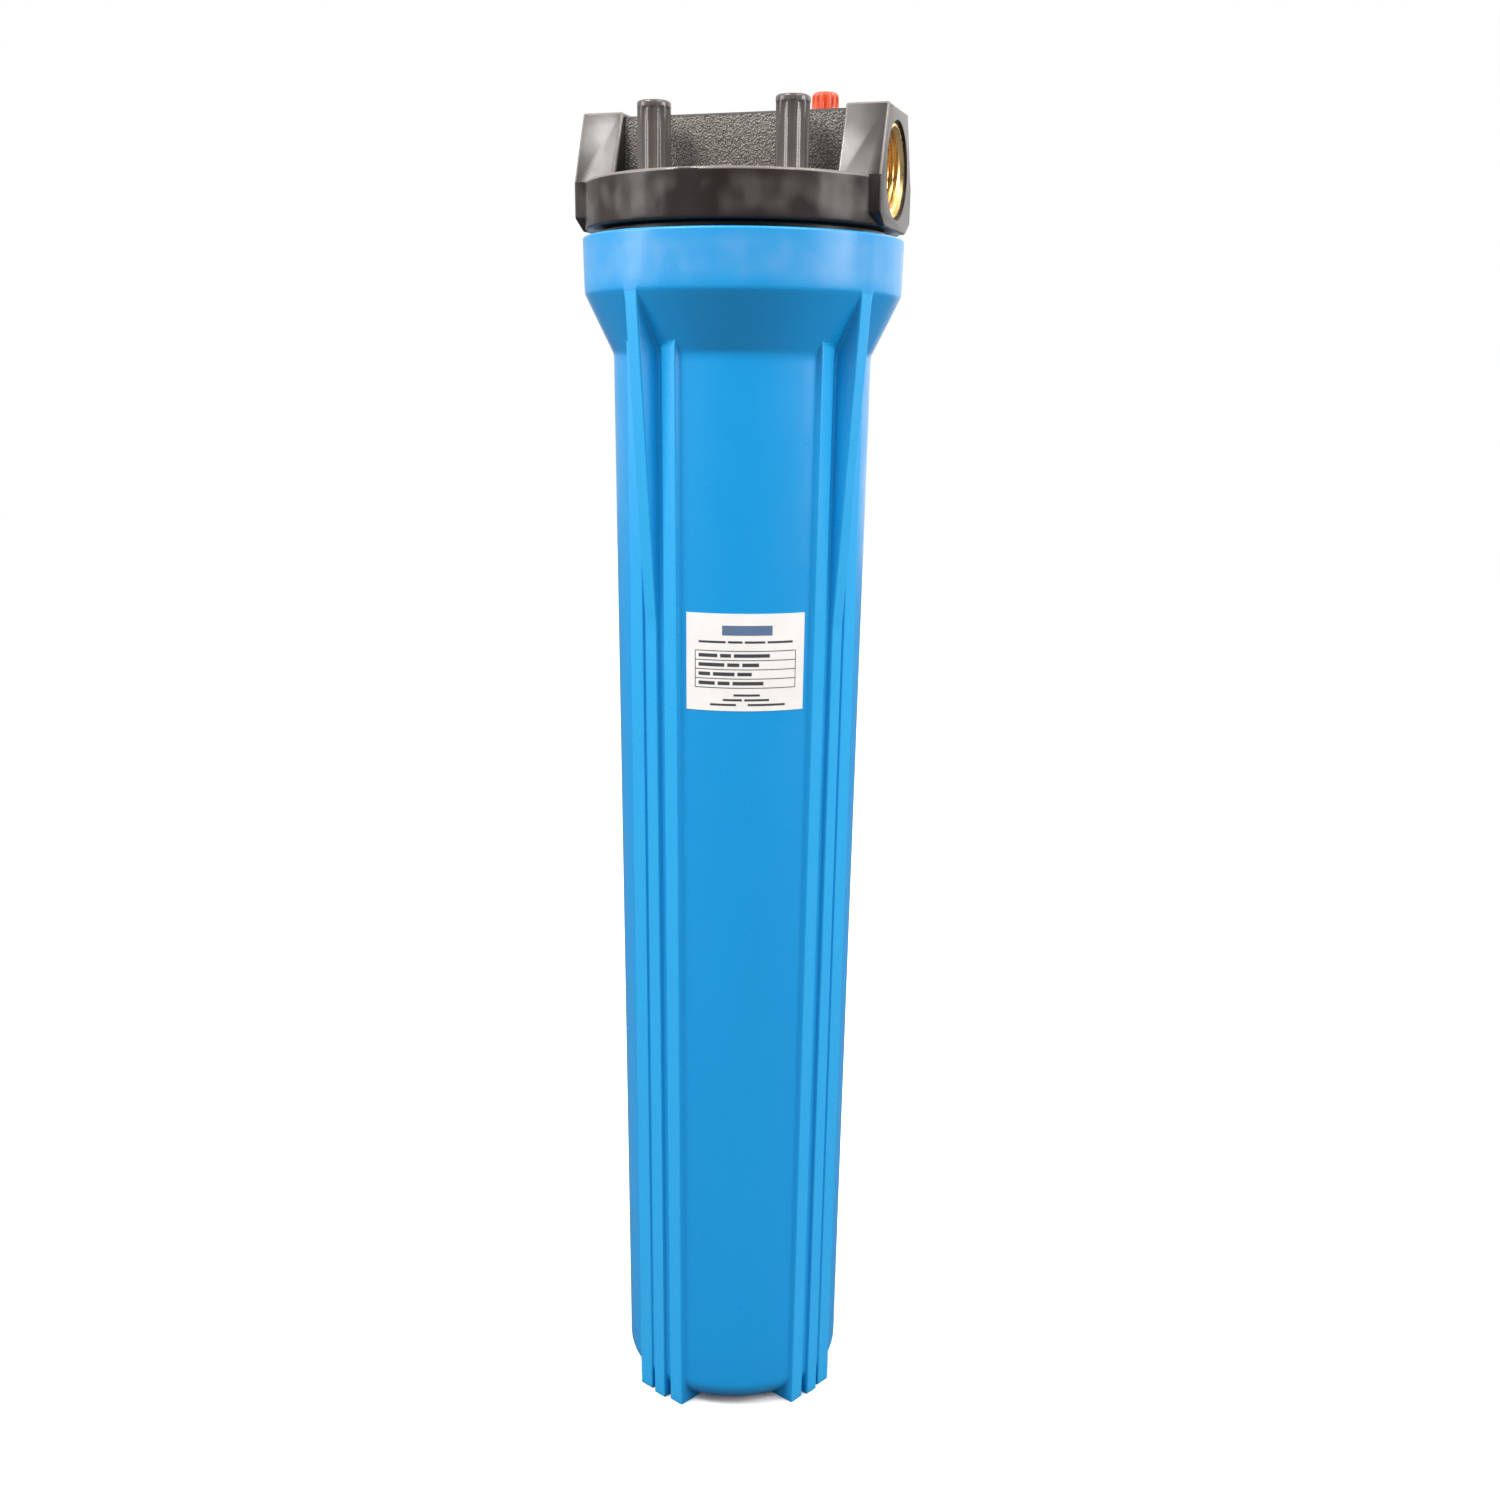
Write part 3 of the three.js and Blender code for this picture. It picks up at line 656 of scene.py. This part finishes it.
def helical_ridge(name, root, crest, start, turn):
    """A right-hand thread ridge whose ends run out into the wall."""
    steps_per_turn = 96
    taper = 0.12
    count = int(THREAD_TURNS * steps_per_turn)
    rings = []
    for i in range(count + 1):
        part = i / count
        swell = min(1.0, part / taper, (1 - part) / taper)
        height = root + (crest - root) * (0.25 + 0.75 * swell)
        angle = turn + 2 * math.pi * i / steps_per_turn
        z = start + THREAD_PITCH * i / steps_per_turn
        outline = [(root, z - RIDGE_ROOT_HALF), (height, z - RIDGE_CREST_HALF)]
        outline += [(height, z + RIDGE_CREST_HALF), (root, z + RIDGE_ROOT_HALF)]
        section = rounded(outline, 0.35, 2)
        rings.append([(r * math.cos(angle), r * math.sin(angle), h) for r, h in section])
    return loft(name, rings)


def is_highlighted_rib_tip(face):
    """The flat tips of the ribs: smoother, and painted a paler blue as a painted highlight."""
    centre = face.center / MM
    radius = max(1.0, math.hypot(centre.x, centre.y))
    outward = (face.normal.x * centre.x + face.normal.y * centre.y) / radius
    return centre.z < COLLAR_BOTTOM - 1 and outward > 0.94 and radius > body_radius(centre.z) + 0.5


def sump():
    shell = combine(sump_shell(), toes(), "UNION")
    root = SUMP_BORE_R + RIDGE_SINK
    ridge = helical_ridge("sump_ridge", root, SUMP_CREST_R, THREAD_START, SUMP_TURN)
    combine(shell, [ridge], "UNION")
    waved(shell, COLLAR_R, COLLAR_BOTTOM + 1.5, SUMP_TOP - 1.2, 0.14)
    dress(smoothed(shell, SUMP_SHARP_DEGREES), "sump", "rib_tip_highlights")
    for face in shell.data.polygons:
        # the rib tips get the paler blue of the painted highlight
        face.material_index = 1 if is_highlighted_rib_tip(face) else 0
    return place(shell, "sump", "sump")


# ---------- label ----------


def label_patch(name, across, heights, low_lift, high_lift, steps=None):
    """A closed curved patch on the front panel, between two bearings and two heights."""
    middle = SUMP_TURN - math.pi / 2
    steps = steps or max(2, int(abs(across[1] - across[0]) / 0.03))
    low, high = heights
    corners = [(low, low_lift), (low, high_lift), (high, high_lift), (high, low_lift)]
    rings = []
    for bearing in middle + np.linspace(across[0], across[1], steps + 1):
        ring = []
        for z, lift in corners:
            r = body_radius(z) + lift
            ring.append((r * math.cos(bearing), r * math.sin(bearing), z))
        rings.append(ring)
    return loft(name, rings)


def joined(name, pieces):
    """One object from several separate ones."""
    shape = bmesh.new()
    for piece in pieces:
        shape.from_mesh(piece.data)
        bpy.data.objects.remove(piece)
    mesh = bpy.data.meshes.new(name)
    shape.to_mesh(mesh)
    shape.free()
    return finish_mesh(name, mesh)


def printed(across, heights):
    """A printed bar: across and heights run from 0 to 1 over the label."""
    span = LABEL_HALF_ANGLE * 0.98
    bearings = [-span + 2 * span * part for part in across]
    z = [LABEL_LOW + (LABEL_HIGH - LABEL_LOW) * part for part in heights]
    return label_patch("bar", bearings, z, *PRINT_LIFT)


def print_lines():
    """A ruled table and bars in place of words, with no lettering."""
    bars = []
    table_low, table_high, rows = 0.24, 0.62, 4
    left, right = 0.07, 0.93
    thin_z, thin_x = 0.008, 0.006
    word_half, footer_half = 0.018, 0.011
    for row in range(rows + 1):
        z = table_low + (table_high - table_low) * row / rows
        bars.append(printed((left, right), (z - thin_z / 2, z + thin_z / 2)))
    for x in (left, right):
        bars.append(printed((x - thin_x / 2, x + thin_x / 2), (table_low, table_high)))
    words = [(0.14, 0.10, 0.26), (0.10, 0.18, 0.12), (0.22, 0.10, 0.14), (0.16, 0.09, 0.30)]
    pitch = (table_high - table_low) / rows
    for row, lengths in enumerate(words):
        x = left + 0.03
        z = table_low + pitch * (row + 0.5)
        for length in lengths:
            bars.append(printed((x, x + length), (z - word_half, z + word_half)))
            x += length + 0.025
    footer = [(0.40, 0.62, 0.165), (0.31, 0.47, 0.115), (0.49, 0.70, 0.115)]
    footer += [(0.20, 0.42, 0.065), (0.52, 0.84, 0.065)]
    for start, end, z in footer:
        bars.append(printed((start, end), (z - footer_half, z + footer_half)))
    for start, end in ((0.10, 0.33), (0.35, 0.47), (0.49, 0.66), (0.68, 0.90)):
        bars.append(printed((start, end), (0.70, 0.722)))
    return joined("label_print", bars)


def label():
    across = (-LABEL_HALF_ANGLE, LABEL_HALF_ANGLE)
    sheet = label_patch("label_sheet", across, (LABEL_LOW, LABEL_HIGH), *SHEET_LIFT, 40)
    place(dress(sheet, "label"), "sump", "label")
    lines = print_lines()
    header = joined("label_header", [printed((0.30, 0.72), (0.78, 0.88))])
    for obj, ink in ((lines, "ink"), (header, "header")):
        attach(dress(obj, ink), "sump")


# ---------- head ----------


def sink_waves(angle):
    """Shallow waves left around a moulded wall as it cools, from -1 to 1."""
    waves = 0.5 * math.sin(29 * angle + 0.6) + 0.3 * math.sin(17 * angle + 2.1)
    return waves + 0.2 * math.sin(43 * angle)


def waved(obj, radius, low, high, depth):
    """Gives the outside wall at a radius its sink waves, deepest half way up."""
    for vertex in obj.data.vertices:
        x, y, z = vertex.co / MM
        r = math.hypot(x, y)
        if r > radius - 0.5 and low < z < high:
            rise = math.sin(math.pi * (z - low) / (high - low)) ** 0.7
            scale = 1 + depth * rise * sink_waves(math.atan2(y, x)) / r
            vertex.co.x *= scale
            vertex.co.y *= scale
    return obj


def flange_and_spigot():
    outline = [
        (STANDPIPE_TIP_R, STANDPIPE_END), (STANDPIPE_R, STANDPIPE_END), (STANDPIPE_R, CEILING),
        (SPIGOT_INNER_R, CEILING), (SPIGOT_INNER_R, SPIGOT_END), (SPIGOT_R, SPIGOT_END),
        (SPIGOT_R, FLANGE_BOTTOM), (FLANGE_R, FLANGE_BOTTOM), (FLANGE_R, FLANGE_TOP),
        (AXIS_R, FLANGE_TOP),
    ]
    profile = rounded(outline, 1.1, 4)
    corner = next(i for i, point in enumerate(profile) if point[0] == FLANGE_R)
    wall = [(FLANGE_R, z) for z in np.linspace(FLANGE_BOTTOM + 2.5, FLANGE_TOP - 2.5, 6)]
    profile[corner + 1:corner + 1] = wall
    moulding = lathe("head_moulding", [(AXIS_R, STANDPIPE_END), *profile], 288)
    return waved(moulding, FLANGE_R, FLANGE_BOTTOM, FLANGE_TOP, 0.3)


def trim_planes():
    """Blocks that cut the flange flush inside the port bosses."""
    inner = PORT_FACE - 0.7
    outline = [(-40, 500), (40, 500), (40, 620), (-40, 620)]
    return [prism("trim", outline, inner, 80, 0.001), prism("trim", outline, -80, -inner, 0.001)]


def boss(side):
    """A port boss, with slanted shoulders above and below."""
    outline = [(BOSS_TOP_HALF, BOSS_TOP), (BOSS_HALF, FLANGE_TOP), (BOSS_HALF, BOSS_FOOT_TOP)]
    outline.append((BOSS_FOOT_HALF, FLANGE_BOTTOM))
    outline += [(-y, z) for y, z in reversed(outline)]
    low, high = sorted((side * BOSS_INNER, side * PORT_FACE))
    return prism("boss", outline, low, high, 0.9)


def bridge():
    foot = FLANGE_TOP - OVERLAP
    outline = [(BRIDGE_HALF, BRIDGE_TOP), (BRIDGE_HALF, foot), (-BRIDGE_HALF, foot)]
    outline.append((-BRIDGE_HALF, BRIDGE_TOP))
    return prism("bridge", outline, -BOSS_INNER - 4, BOSS_INNER + 4, 1.0)


def post(x, y):
    """A fluted post with a smooth chamfered top and a pilot hole."""
    count, flutes, depth = 120, 12, 0.55
    angle = np.linspace(0, 2 * math.pi, count, endpoint=False)
    wave = (0.5 - 0.5 * np.cos(flutes * angle)) ** 0.7
    # height, swell of the radius, and how much of the flutes' depth
    outside = [(FLANGE_TOP - OVERLAP, 0.35, 1), (FLANGE_TOP + 0.4, 0.35, 1)]
    outside += [(z, 0, 1) for z in (FLANGE_TOP + 1.6, 580.0, 590.0, POST_TOP - 3.6)]
    outside += [(POST_TOP - 2.9, 0, 0.5), (POST_TOP - 2.5, 0, 0), (POST_TOP - 0.9, -0.02, 0)]
    outside += [(POST_TOP - 0.4, -0.2, 0), (POST_TOP - 0.1, -0.55, 0), (POST_TOP, -1.1, 0)]
    rings = []
    for z, swell, fluted in outside:
        r = POST_R + swell - depth * wave * fluted
        ring = [x + r * np.cos(angle), y + r * np.sin(angle), np.full(count, z)]
        rings.append(np.column_stack(ring))
    for r, z in ((2.6, POST_TOP), (PILOT_R, POST_TOP - 0.7), (PILOT_R, POST_TOP - PILOT_DEPTH)):
        rings.append(circle(r, z, count, (x, y)))
    return loft("post", rings)


def rod(radius, low, high, count, x=0.0):
    outline = [(AXIS_R, low), (radius, low), (radius, high), (AXIS_R, high)]
    return lathe("rod", outline, count, (x, 0.0))


def port_rod(radius, low, high):
    """A rod along the port axis, from one X to another."""
    return along_x(rod(radius, low, high, 96), 1, PORT_HEIGHT)


def valve_rod(radius, low, high):
    """An upright rod on the relief valve's axis."""
    return rod(radius, low, high, 64, RELIEF_X)


def port_cuts(side):
    """The pocket that holds the brass insert, and the wider mouth in front of it."""
    cuts = []
    for radius, depth in ((POCKET_R, POCKET_DEPTH), (MOUTH_R, MOUTH_DEPTH)):
        low, high = sorted((side * (PORT_FACE - depth), side * (PORT_FACE + 5)))
        cuts.append(port_rod(radius, low, high))
    return cuts


def is_pebbled(face):
    """The bridge's side walls, between the bosses and above the flange."""
    centre = face.center / MM
    side_on = abs(abs(centre.y) - BRIDGE_HALF) < 0.05 and abs(face.normal.y) > 0.99
    return side_on and abs(centre.x) < BOSS_INNER and centre.z > FLANGE_TOP


def wall_normals():
    """The ways that the flat walls face: along the axes, and the bosses' slanted shoulders."""
    normals = [Vector(axis) for axis in ((1, 0, 0), (0, 1, 0), (0, 0, 1))]
    for side in (1, -1):
        slant = Vector((0, side * (BOSS_TOP - FLANGE_TOP), BOSS_HALF - BOSS_TOP_HALF))
        normals.append(slant.normalized())
    return normals


WALL_NORMALS = wall_normals()


def is_post(face):
    centre = face.center / MM
    near = min(math.hypot(centre.x - x, centre.y - y) for x, y in POST_PLACES)
    return near < POST_R + 0.5 and centre.z > FLANGE_TOP + 0.3


def is_highlighted_edge(face):
    """The bosses' rounded edges and the flange's top edge: smoother, and painted a lighter grey as
    a painted highlight.
    """
    centre = face.center / MM
    mouth = math.hypot(centre.y, centre.z - PORT_HEIGHT) < MOUTH_R + 0.4
    outer = abs(centre.x) > BOSS_INNER - 1 or math.hypot(centre.x, centre.y) > FLANGE_R - 1.2
    if mouth or not outer or centre.z < FLANGE_TOP - 1.2:
        return False
    return all(abs(face.normal.dot(normal)) < 0.985 for normal in WALL_NORMALS)


def is_flange(face):
    """The flange's round wall, between the two bosses."""
    centre = face.center / MM
    round_wall = math.hypot(centre.x, centre.y) > FLANGE_R - 0.7 and abs(centre.y) > BOSS_FOOT_HALF
    return round_wall and FLANGE_BOTTOM < centre.z < FLANGE_TOP


def head():
    body = combine(flange_and_spigot(), trim_planes(), "DIFFERENCE")
    combine(body, [boss(-1), boss(1), bridge(), *[post(x, y) for x, y in POST_PLACES]], "UNION")
    passages = [port_rod(PASSAGE_R, 24, 50), port_rod(PASSAGE_R, -50, 0)]
    passages.append(rod(STANDPIPE_BORE_R, 520, PORT_HEIGHT, 64))
    passages.append(valve_rod(INLET_DROP_R, 550, PORT_HEIGHT))
    combine(body, passages, "DIFFERENCE")
    valve_top = BUTTON_POCKET_FLOOR + 1.5
    combine(body, [valve_rod(VALVE_BOSS_R, VALVE_SEAT, valve_top)], "UNION")
    bores = [valve_rod(BUTTON_POCKET_R, BUTTON_POCKET_FLOOR, BRIDGE_TOP + 3)]
    bores.append(valve_rod(STEM_HOLE_R, VALVE_SEAT - 1.6, valve_top))
    combine(body, [*port_cuts(-1), *port_cuts(1), *bores], "DIFFERENCE")
    # on a helix half a pitch above the sump's ridge, and started lower by the thread's drop
    turn = SUMP_TURN - THREAD_DROP / THREAD_PITCH * 2 * math.pi
    start = THREAD_START + THREAD_PITCH / 2 - THREAD_DROP
    ridge = helical_ridge("spigot_ridge", SPIGOT_R - RIDGE_SINK, SPIGOT_CREST_R, start, turn)
    combine(body, [ridge], "UNION")
    # the pebbled walls and the posts get painted sheen, the rounded edges painted highlight, the
    # flange wall painted reflection
    dress(smoothed(body, 30), "head", "pebbles", "posts", "edges", "flange")
    kinds = (is_pebbled, is_post, is_highlighted_edge, is_flange)
    for face in body.data.polygons:
        face.material_index = next((i + 1 for i, kind in enumerate(kinds) if kind(face)), 0)
    return place(body, "head", "head")


def port_insert(side, node):
    """A brass insert with a true tapered pipe thread."""
    around, per_turn = 96, 8
    low, high = INSERT_INNER, INSERT_OUTER
    first = high - 1.2
    rings = [circle(INSERT_R, high - 0.3, around), circle(INSERT_R - 0.3, high, around)]
    rings.append(circle(PIPE_MOUTH_R, high, around))
    rows = int((first - low) / PIPE_PITCH * per_turn)
    angle = np.linspace(0, 2 * math.pi, around, endpoint=False)
    for row in range(rows + 1):
        z = first - row * PIPE_PITCH / per_turn
        phase = (z / PIPE_PITCH - side * angle / (2 * math.pi)) % 1.0
        tooth = np.clip(1 - np.abs(phase * 2 - 1) * 1.25 + 0.12, 0, 1)
        taper = (high - z) * PIPE_TAPER
        fade = min(1.0, row / (0.5 * per_turn), (rows - row) / (0.5 * per_turn))
        r = PIPE_THREAD_R - taper - PIPE_THREAD_HEIGHT * tooth * fade
        rings.append(np.column_stack([r * np.cos(angle), r * np.sin(angle), np.full(around, z)]))
    rings += [circle(INSERT_BACK_R, low, around), circle(INSERT_R, low, around)]
    insert = loft(f"{node}_threaded", rings, close=True, sharp_degrees=50)
    return place(dress(along_x(insert, side, PORT_HEIGHT), "brass"), "head", node, "brass")


# ---------- relief valve ----------


def relief_button():
    """A ribbed cap with a domed top and a hollow skirt for the spring."""
    count, ribs, depth = 144, 12, 1.1
    low, high = (corner.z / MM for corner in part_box("relief_button"))
    angle = np.linspace(0, 2 * math.pi, count, endpoint=False)
    groove = np.clip(np.cos(ribs * angle) * 1.6, -1, 1) * 0.5 - 0.5
    # height, radius, and how much of the grooves' depth
    outside = [(low, 5.55, 0), (low + 0.3, BUTTON_R, 0)]
    outside += [(BRIDGE_TOP + 0.6, BUTTON_R, 0), (BRIDGE_TOP + 1.2, BUTTON_R, 1)]
    outside += [(high - 2.6, 5.7, 1), (high - 1.6, 5.5, 1), (high - 0.9, 5.1, 0.8)]
    outside += [(high - 0.35, 4.3, 0.4), (high - 0.1, 3.2, 0), (high, 2.0, 0)]
    rings = []
    for z, r, cut in outside:
        reach = r + depth * groove * cut
        ring = [RELIEF_X + reach * np.cos(angle), reach * np.sin(angle), np.full(count, z)]
        rings.append(np.column_stack(ring))
    dimple = [(1.2, high - 0.05), (AXIS_R, high - 0.05)]
    rings += [circle(r, z, count, (RELIEF_X, 0.0)) for r, z in dimple]
    hollow = [(AXIS_R, high - 2.2), (1.8, high - 2.2), (1.8, low + 5.3), (4.6, low + 5.3)]
    hollow += [(4.6, low + 0.2), (4.8, low)]
    under = [circle(r, z, count, (RELIEF_X, 0.0)) for r, z in hollow]
    button = loft("relief_button_cap", under + rings, sharp_degrees=40)
    return place(dress(button, "button"), "relief_valve", "relief_button", "button")


def relief_spring():
    """A coil of round wire with closed ends, made at one length; the real spring shortens as the
    button goes down.
    """
    bottom, top = (corner.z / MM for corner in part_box("relief_spring"))
    low, high = bottom + 0.45, top - 0.45
    steps = SPRING_TURNS * 32
    up = np.array([0, 0, 1])
    section = np.linspace(0, 2 * math.pi, 10, endpoint=False)
    rings = []
    for i in range(steps + 1):
        part = i / steps
        angle = 2 * math.pi * SPRING_TURNS * part
        # the first and last 0.14 of the wire lie nearly flat
        rise = min(1.0, max(0.0, (part - 0.14) / 0.72))
        z = low + (high - low) * (0.08 * part + 0.92 * rise)
        out = np.array([math.cos(angle), math.sin(angle), 0])
        centre = np.array([RELIEF_X, 0, z]) + SPRING_R * out
        around = [math.cos(a) * out + math.sin(a) * up for a in section]
        rings.append([centre + SPRING_WIRE * way for way in around])
    spring = place(dress(loft("relief_coil", rings), "steel"), "head", "relief_spring", "steel")
    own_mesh(spring)
    return spring


# ---------- CAD nodes that keep their shape ----------


def dress_frame():
    for row in frame["record"]["subparts"]:
        dress(frame["nodes"][row["node"]], row["material_slot"])


# ---------- studio ----------


def floor_material():
    """Pale to the camera, and dimmer as a source of bounced light on the object."""
    n = Nodes("studio_floor")
    seen = n.tree.nodes.new("ShaderNodeLightPath").outputs["Is Camera Ray"]
    tone = n.ramp(n.noise(3, 2), ((0.92, 0.92, 0.92), (0.95, 0.95, 0.95)))
    colour = n.mix(seen, (0.11, 0.11, 0.12, 1), tone)
    return n.set(Base_Color=colour, Roughness=0.9, Specular_IOR_Level=0.1)


def studio_world():
    """White to the camera. As light it is a soft dome, bright above and behind and dim in front."""
    world = bpy.data.worlds.new("studio")
    world.use_nodes = True
    tree = world.node_tree

    def node(kind, **values):
        made = tree.nodes.new(kind)
        for key, value in values.items():
            made.inputs[key.replace("_", " ")].default_value = value
        return made

    def towards(direction, low, high, bottom, top):
        """A factor that goes from bottom to top as the view turns to a direction."""
        dot = node("ShaderNodeVectorMath")
        dot.operation = "DOT_PRODUCT"
        dot.inputs[1].default_value = direction
        tree.links.new(place.outputs["Generated"], dot.inputs[0])
        fade = node("ShaderNodeMapRange", From_Min=low, From_Max=high, To_Min=bottom, To_Max=top)
        fade.interpolation_type = "SMOOTHSTEP"
        tree.links.new(dot.outputs["Value"], fade.inputs["Value"])
        return fade.outputs[0]

    def product(a, b):
        times = node("ShaderNodeMath")
        times.operation = "MULTIPLY"
        tree.links.new(a, times.inputs[0])
        tree.links.new(b, times.inputs[1])
        return times.outputs[0]

    place = node("ShaderNodeTexCoord")
    overhead = towards((0, 0, 1), 0.0, 0.9, 0.58, 1.5)
    front = towards((0.30, -0.95, 0.05), 0.78, 0.985, 1.0, 0.25)
    back = towards((0.25, 0.95, 0.1), 0.5, 0.95, 1.0, 2.3)
    dome = tree.nodes["Background"]
    dome.inputs["Color"].default_value = (1.0, 0.97, 0.94, 1)
    tree.links.new(product(product(overhead, front), back), dome.inputs["Strength"])
    white = node("ShaderNodeBackground", Strength=1.0, Color=(1, 1, 1, 1))
    path = node("ShaderNodeLightPath")
    mix = node("ShaderNodeMixShader")
    tree.links.new(path.outputs["Is Camera Ray"], mix.inputs[0])
    tree.links.new(dome.outputs[0], mix.inputs[1])
    tree.links.new(white.outputs[0], mix.inputs[2])
    tree.links.new(mix.outputs[0], tree.nodes["World Output"].inputs["Surface"])
    return world


def studio():
    reach = 4.0
    corners = [(-reach, -reach, 0), (reach, -reach, 0), (reach, reach, 0), (-reach, reach, 0)]
    mesh = bpy.data.meshes.new("floor")
    mesh.from_pydata(corners, [], [(0, 1, 2, 3)])
    mesh.materials.append(floor_material())
    floor = bpy.data.objects.new("floor", mesh)
    bpy.context.scene.collection.objects.link(floor)
    bpy.context.scene.world = studio_world()
    bpy.context.scene.view_settings.view_transform = "Standard"


def softbox(name, azimuth, elevation, distance, size, power):
    """A rectangular light; azimuth 0 is in front, along -Y, and grows towards +X."""
    target = Vector((0, 0, 0.4))
    a, e = math.radians(azimuth), math.radians(elevation)
    away = Vector((math.sin(a) * math.cos(e), -math.cos(a) * math.cos(e), math.sin(e)))
    light = bpy.data.lights.new(name, "AREA")
    light.shape = "RECTANGLE"
    light.size, light.size_y = size
    light.energy = power
    light.color = (1.0, 0.965, 0.93)
    obj = bpy.data.objects.new(name, light)
    obj.location = target + away * distance
    obj.rotation_euler = (-away).to_track_quat("-Z", "Y").to_euler()
    bpy.context.scene.collection.objects.link(obj)


def lights():
    softbox("key_left", -34, 50, 1.7, (0.7, 0.45), 22.5)
    softbox("key_right", 62, 46, 1.8, (0.8, 0.6), 12)
    softbox("side_left", -62, 18, 1.6, (0.6, 0.7), 8)
    softbox("side_right", 88, 18, 1.6, (0.6, 0.7), 11)


def camera():
    """A handheld view from a little above the middle, turned towards the inlet side."""
    yaw, pitch, roll = math.radians(17.65), math.radians(16.03), 0.011
    side, back, height = 0.0022, 0.7366, 0.4885
    right = Vector((math.cos(yaw), math.sin(yaw), 0))
    level = Vector((-math.sin(yaw), math.cos(yaw), 0))
    ahead = level * math.cos(pitch) - Vector((0, 0, math.sin(pitch)))
    up = right.cross(ahead)
    x_axis = right * math.cos(roll) + up * math.sin(roll)
    y_axis = up * math.cos(roll) - right * math.sin(roll)
    data = bpy.data.cameras.new("camera")
    data.lens, data.sensor_width = 38.4, 36.0
    data.shift_x, data.shift_y = 0.0053, 0.0625
    data.clip_start = 0.01
    obj = bpy.data.objects.new("camera", data)
    turn = Matrix((x_axis, y_axis, -ahead)).transposed().to_4x4()
    stand = right * side - level * back + Vector((0, 0, height))
    obj.matrix_world = Matrix.Translation(stand) @ turn
    bpy.context.scene.collection.objects.link(obj)
    bpy.context.scene.camera = obj


camera()
studio()
lights()
dress_frame()
sump()
label()
head()
port_insert(1, "inlet_insert")
port_insert(-1, "outlet_insert")
relief_button()
relief_spring()
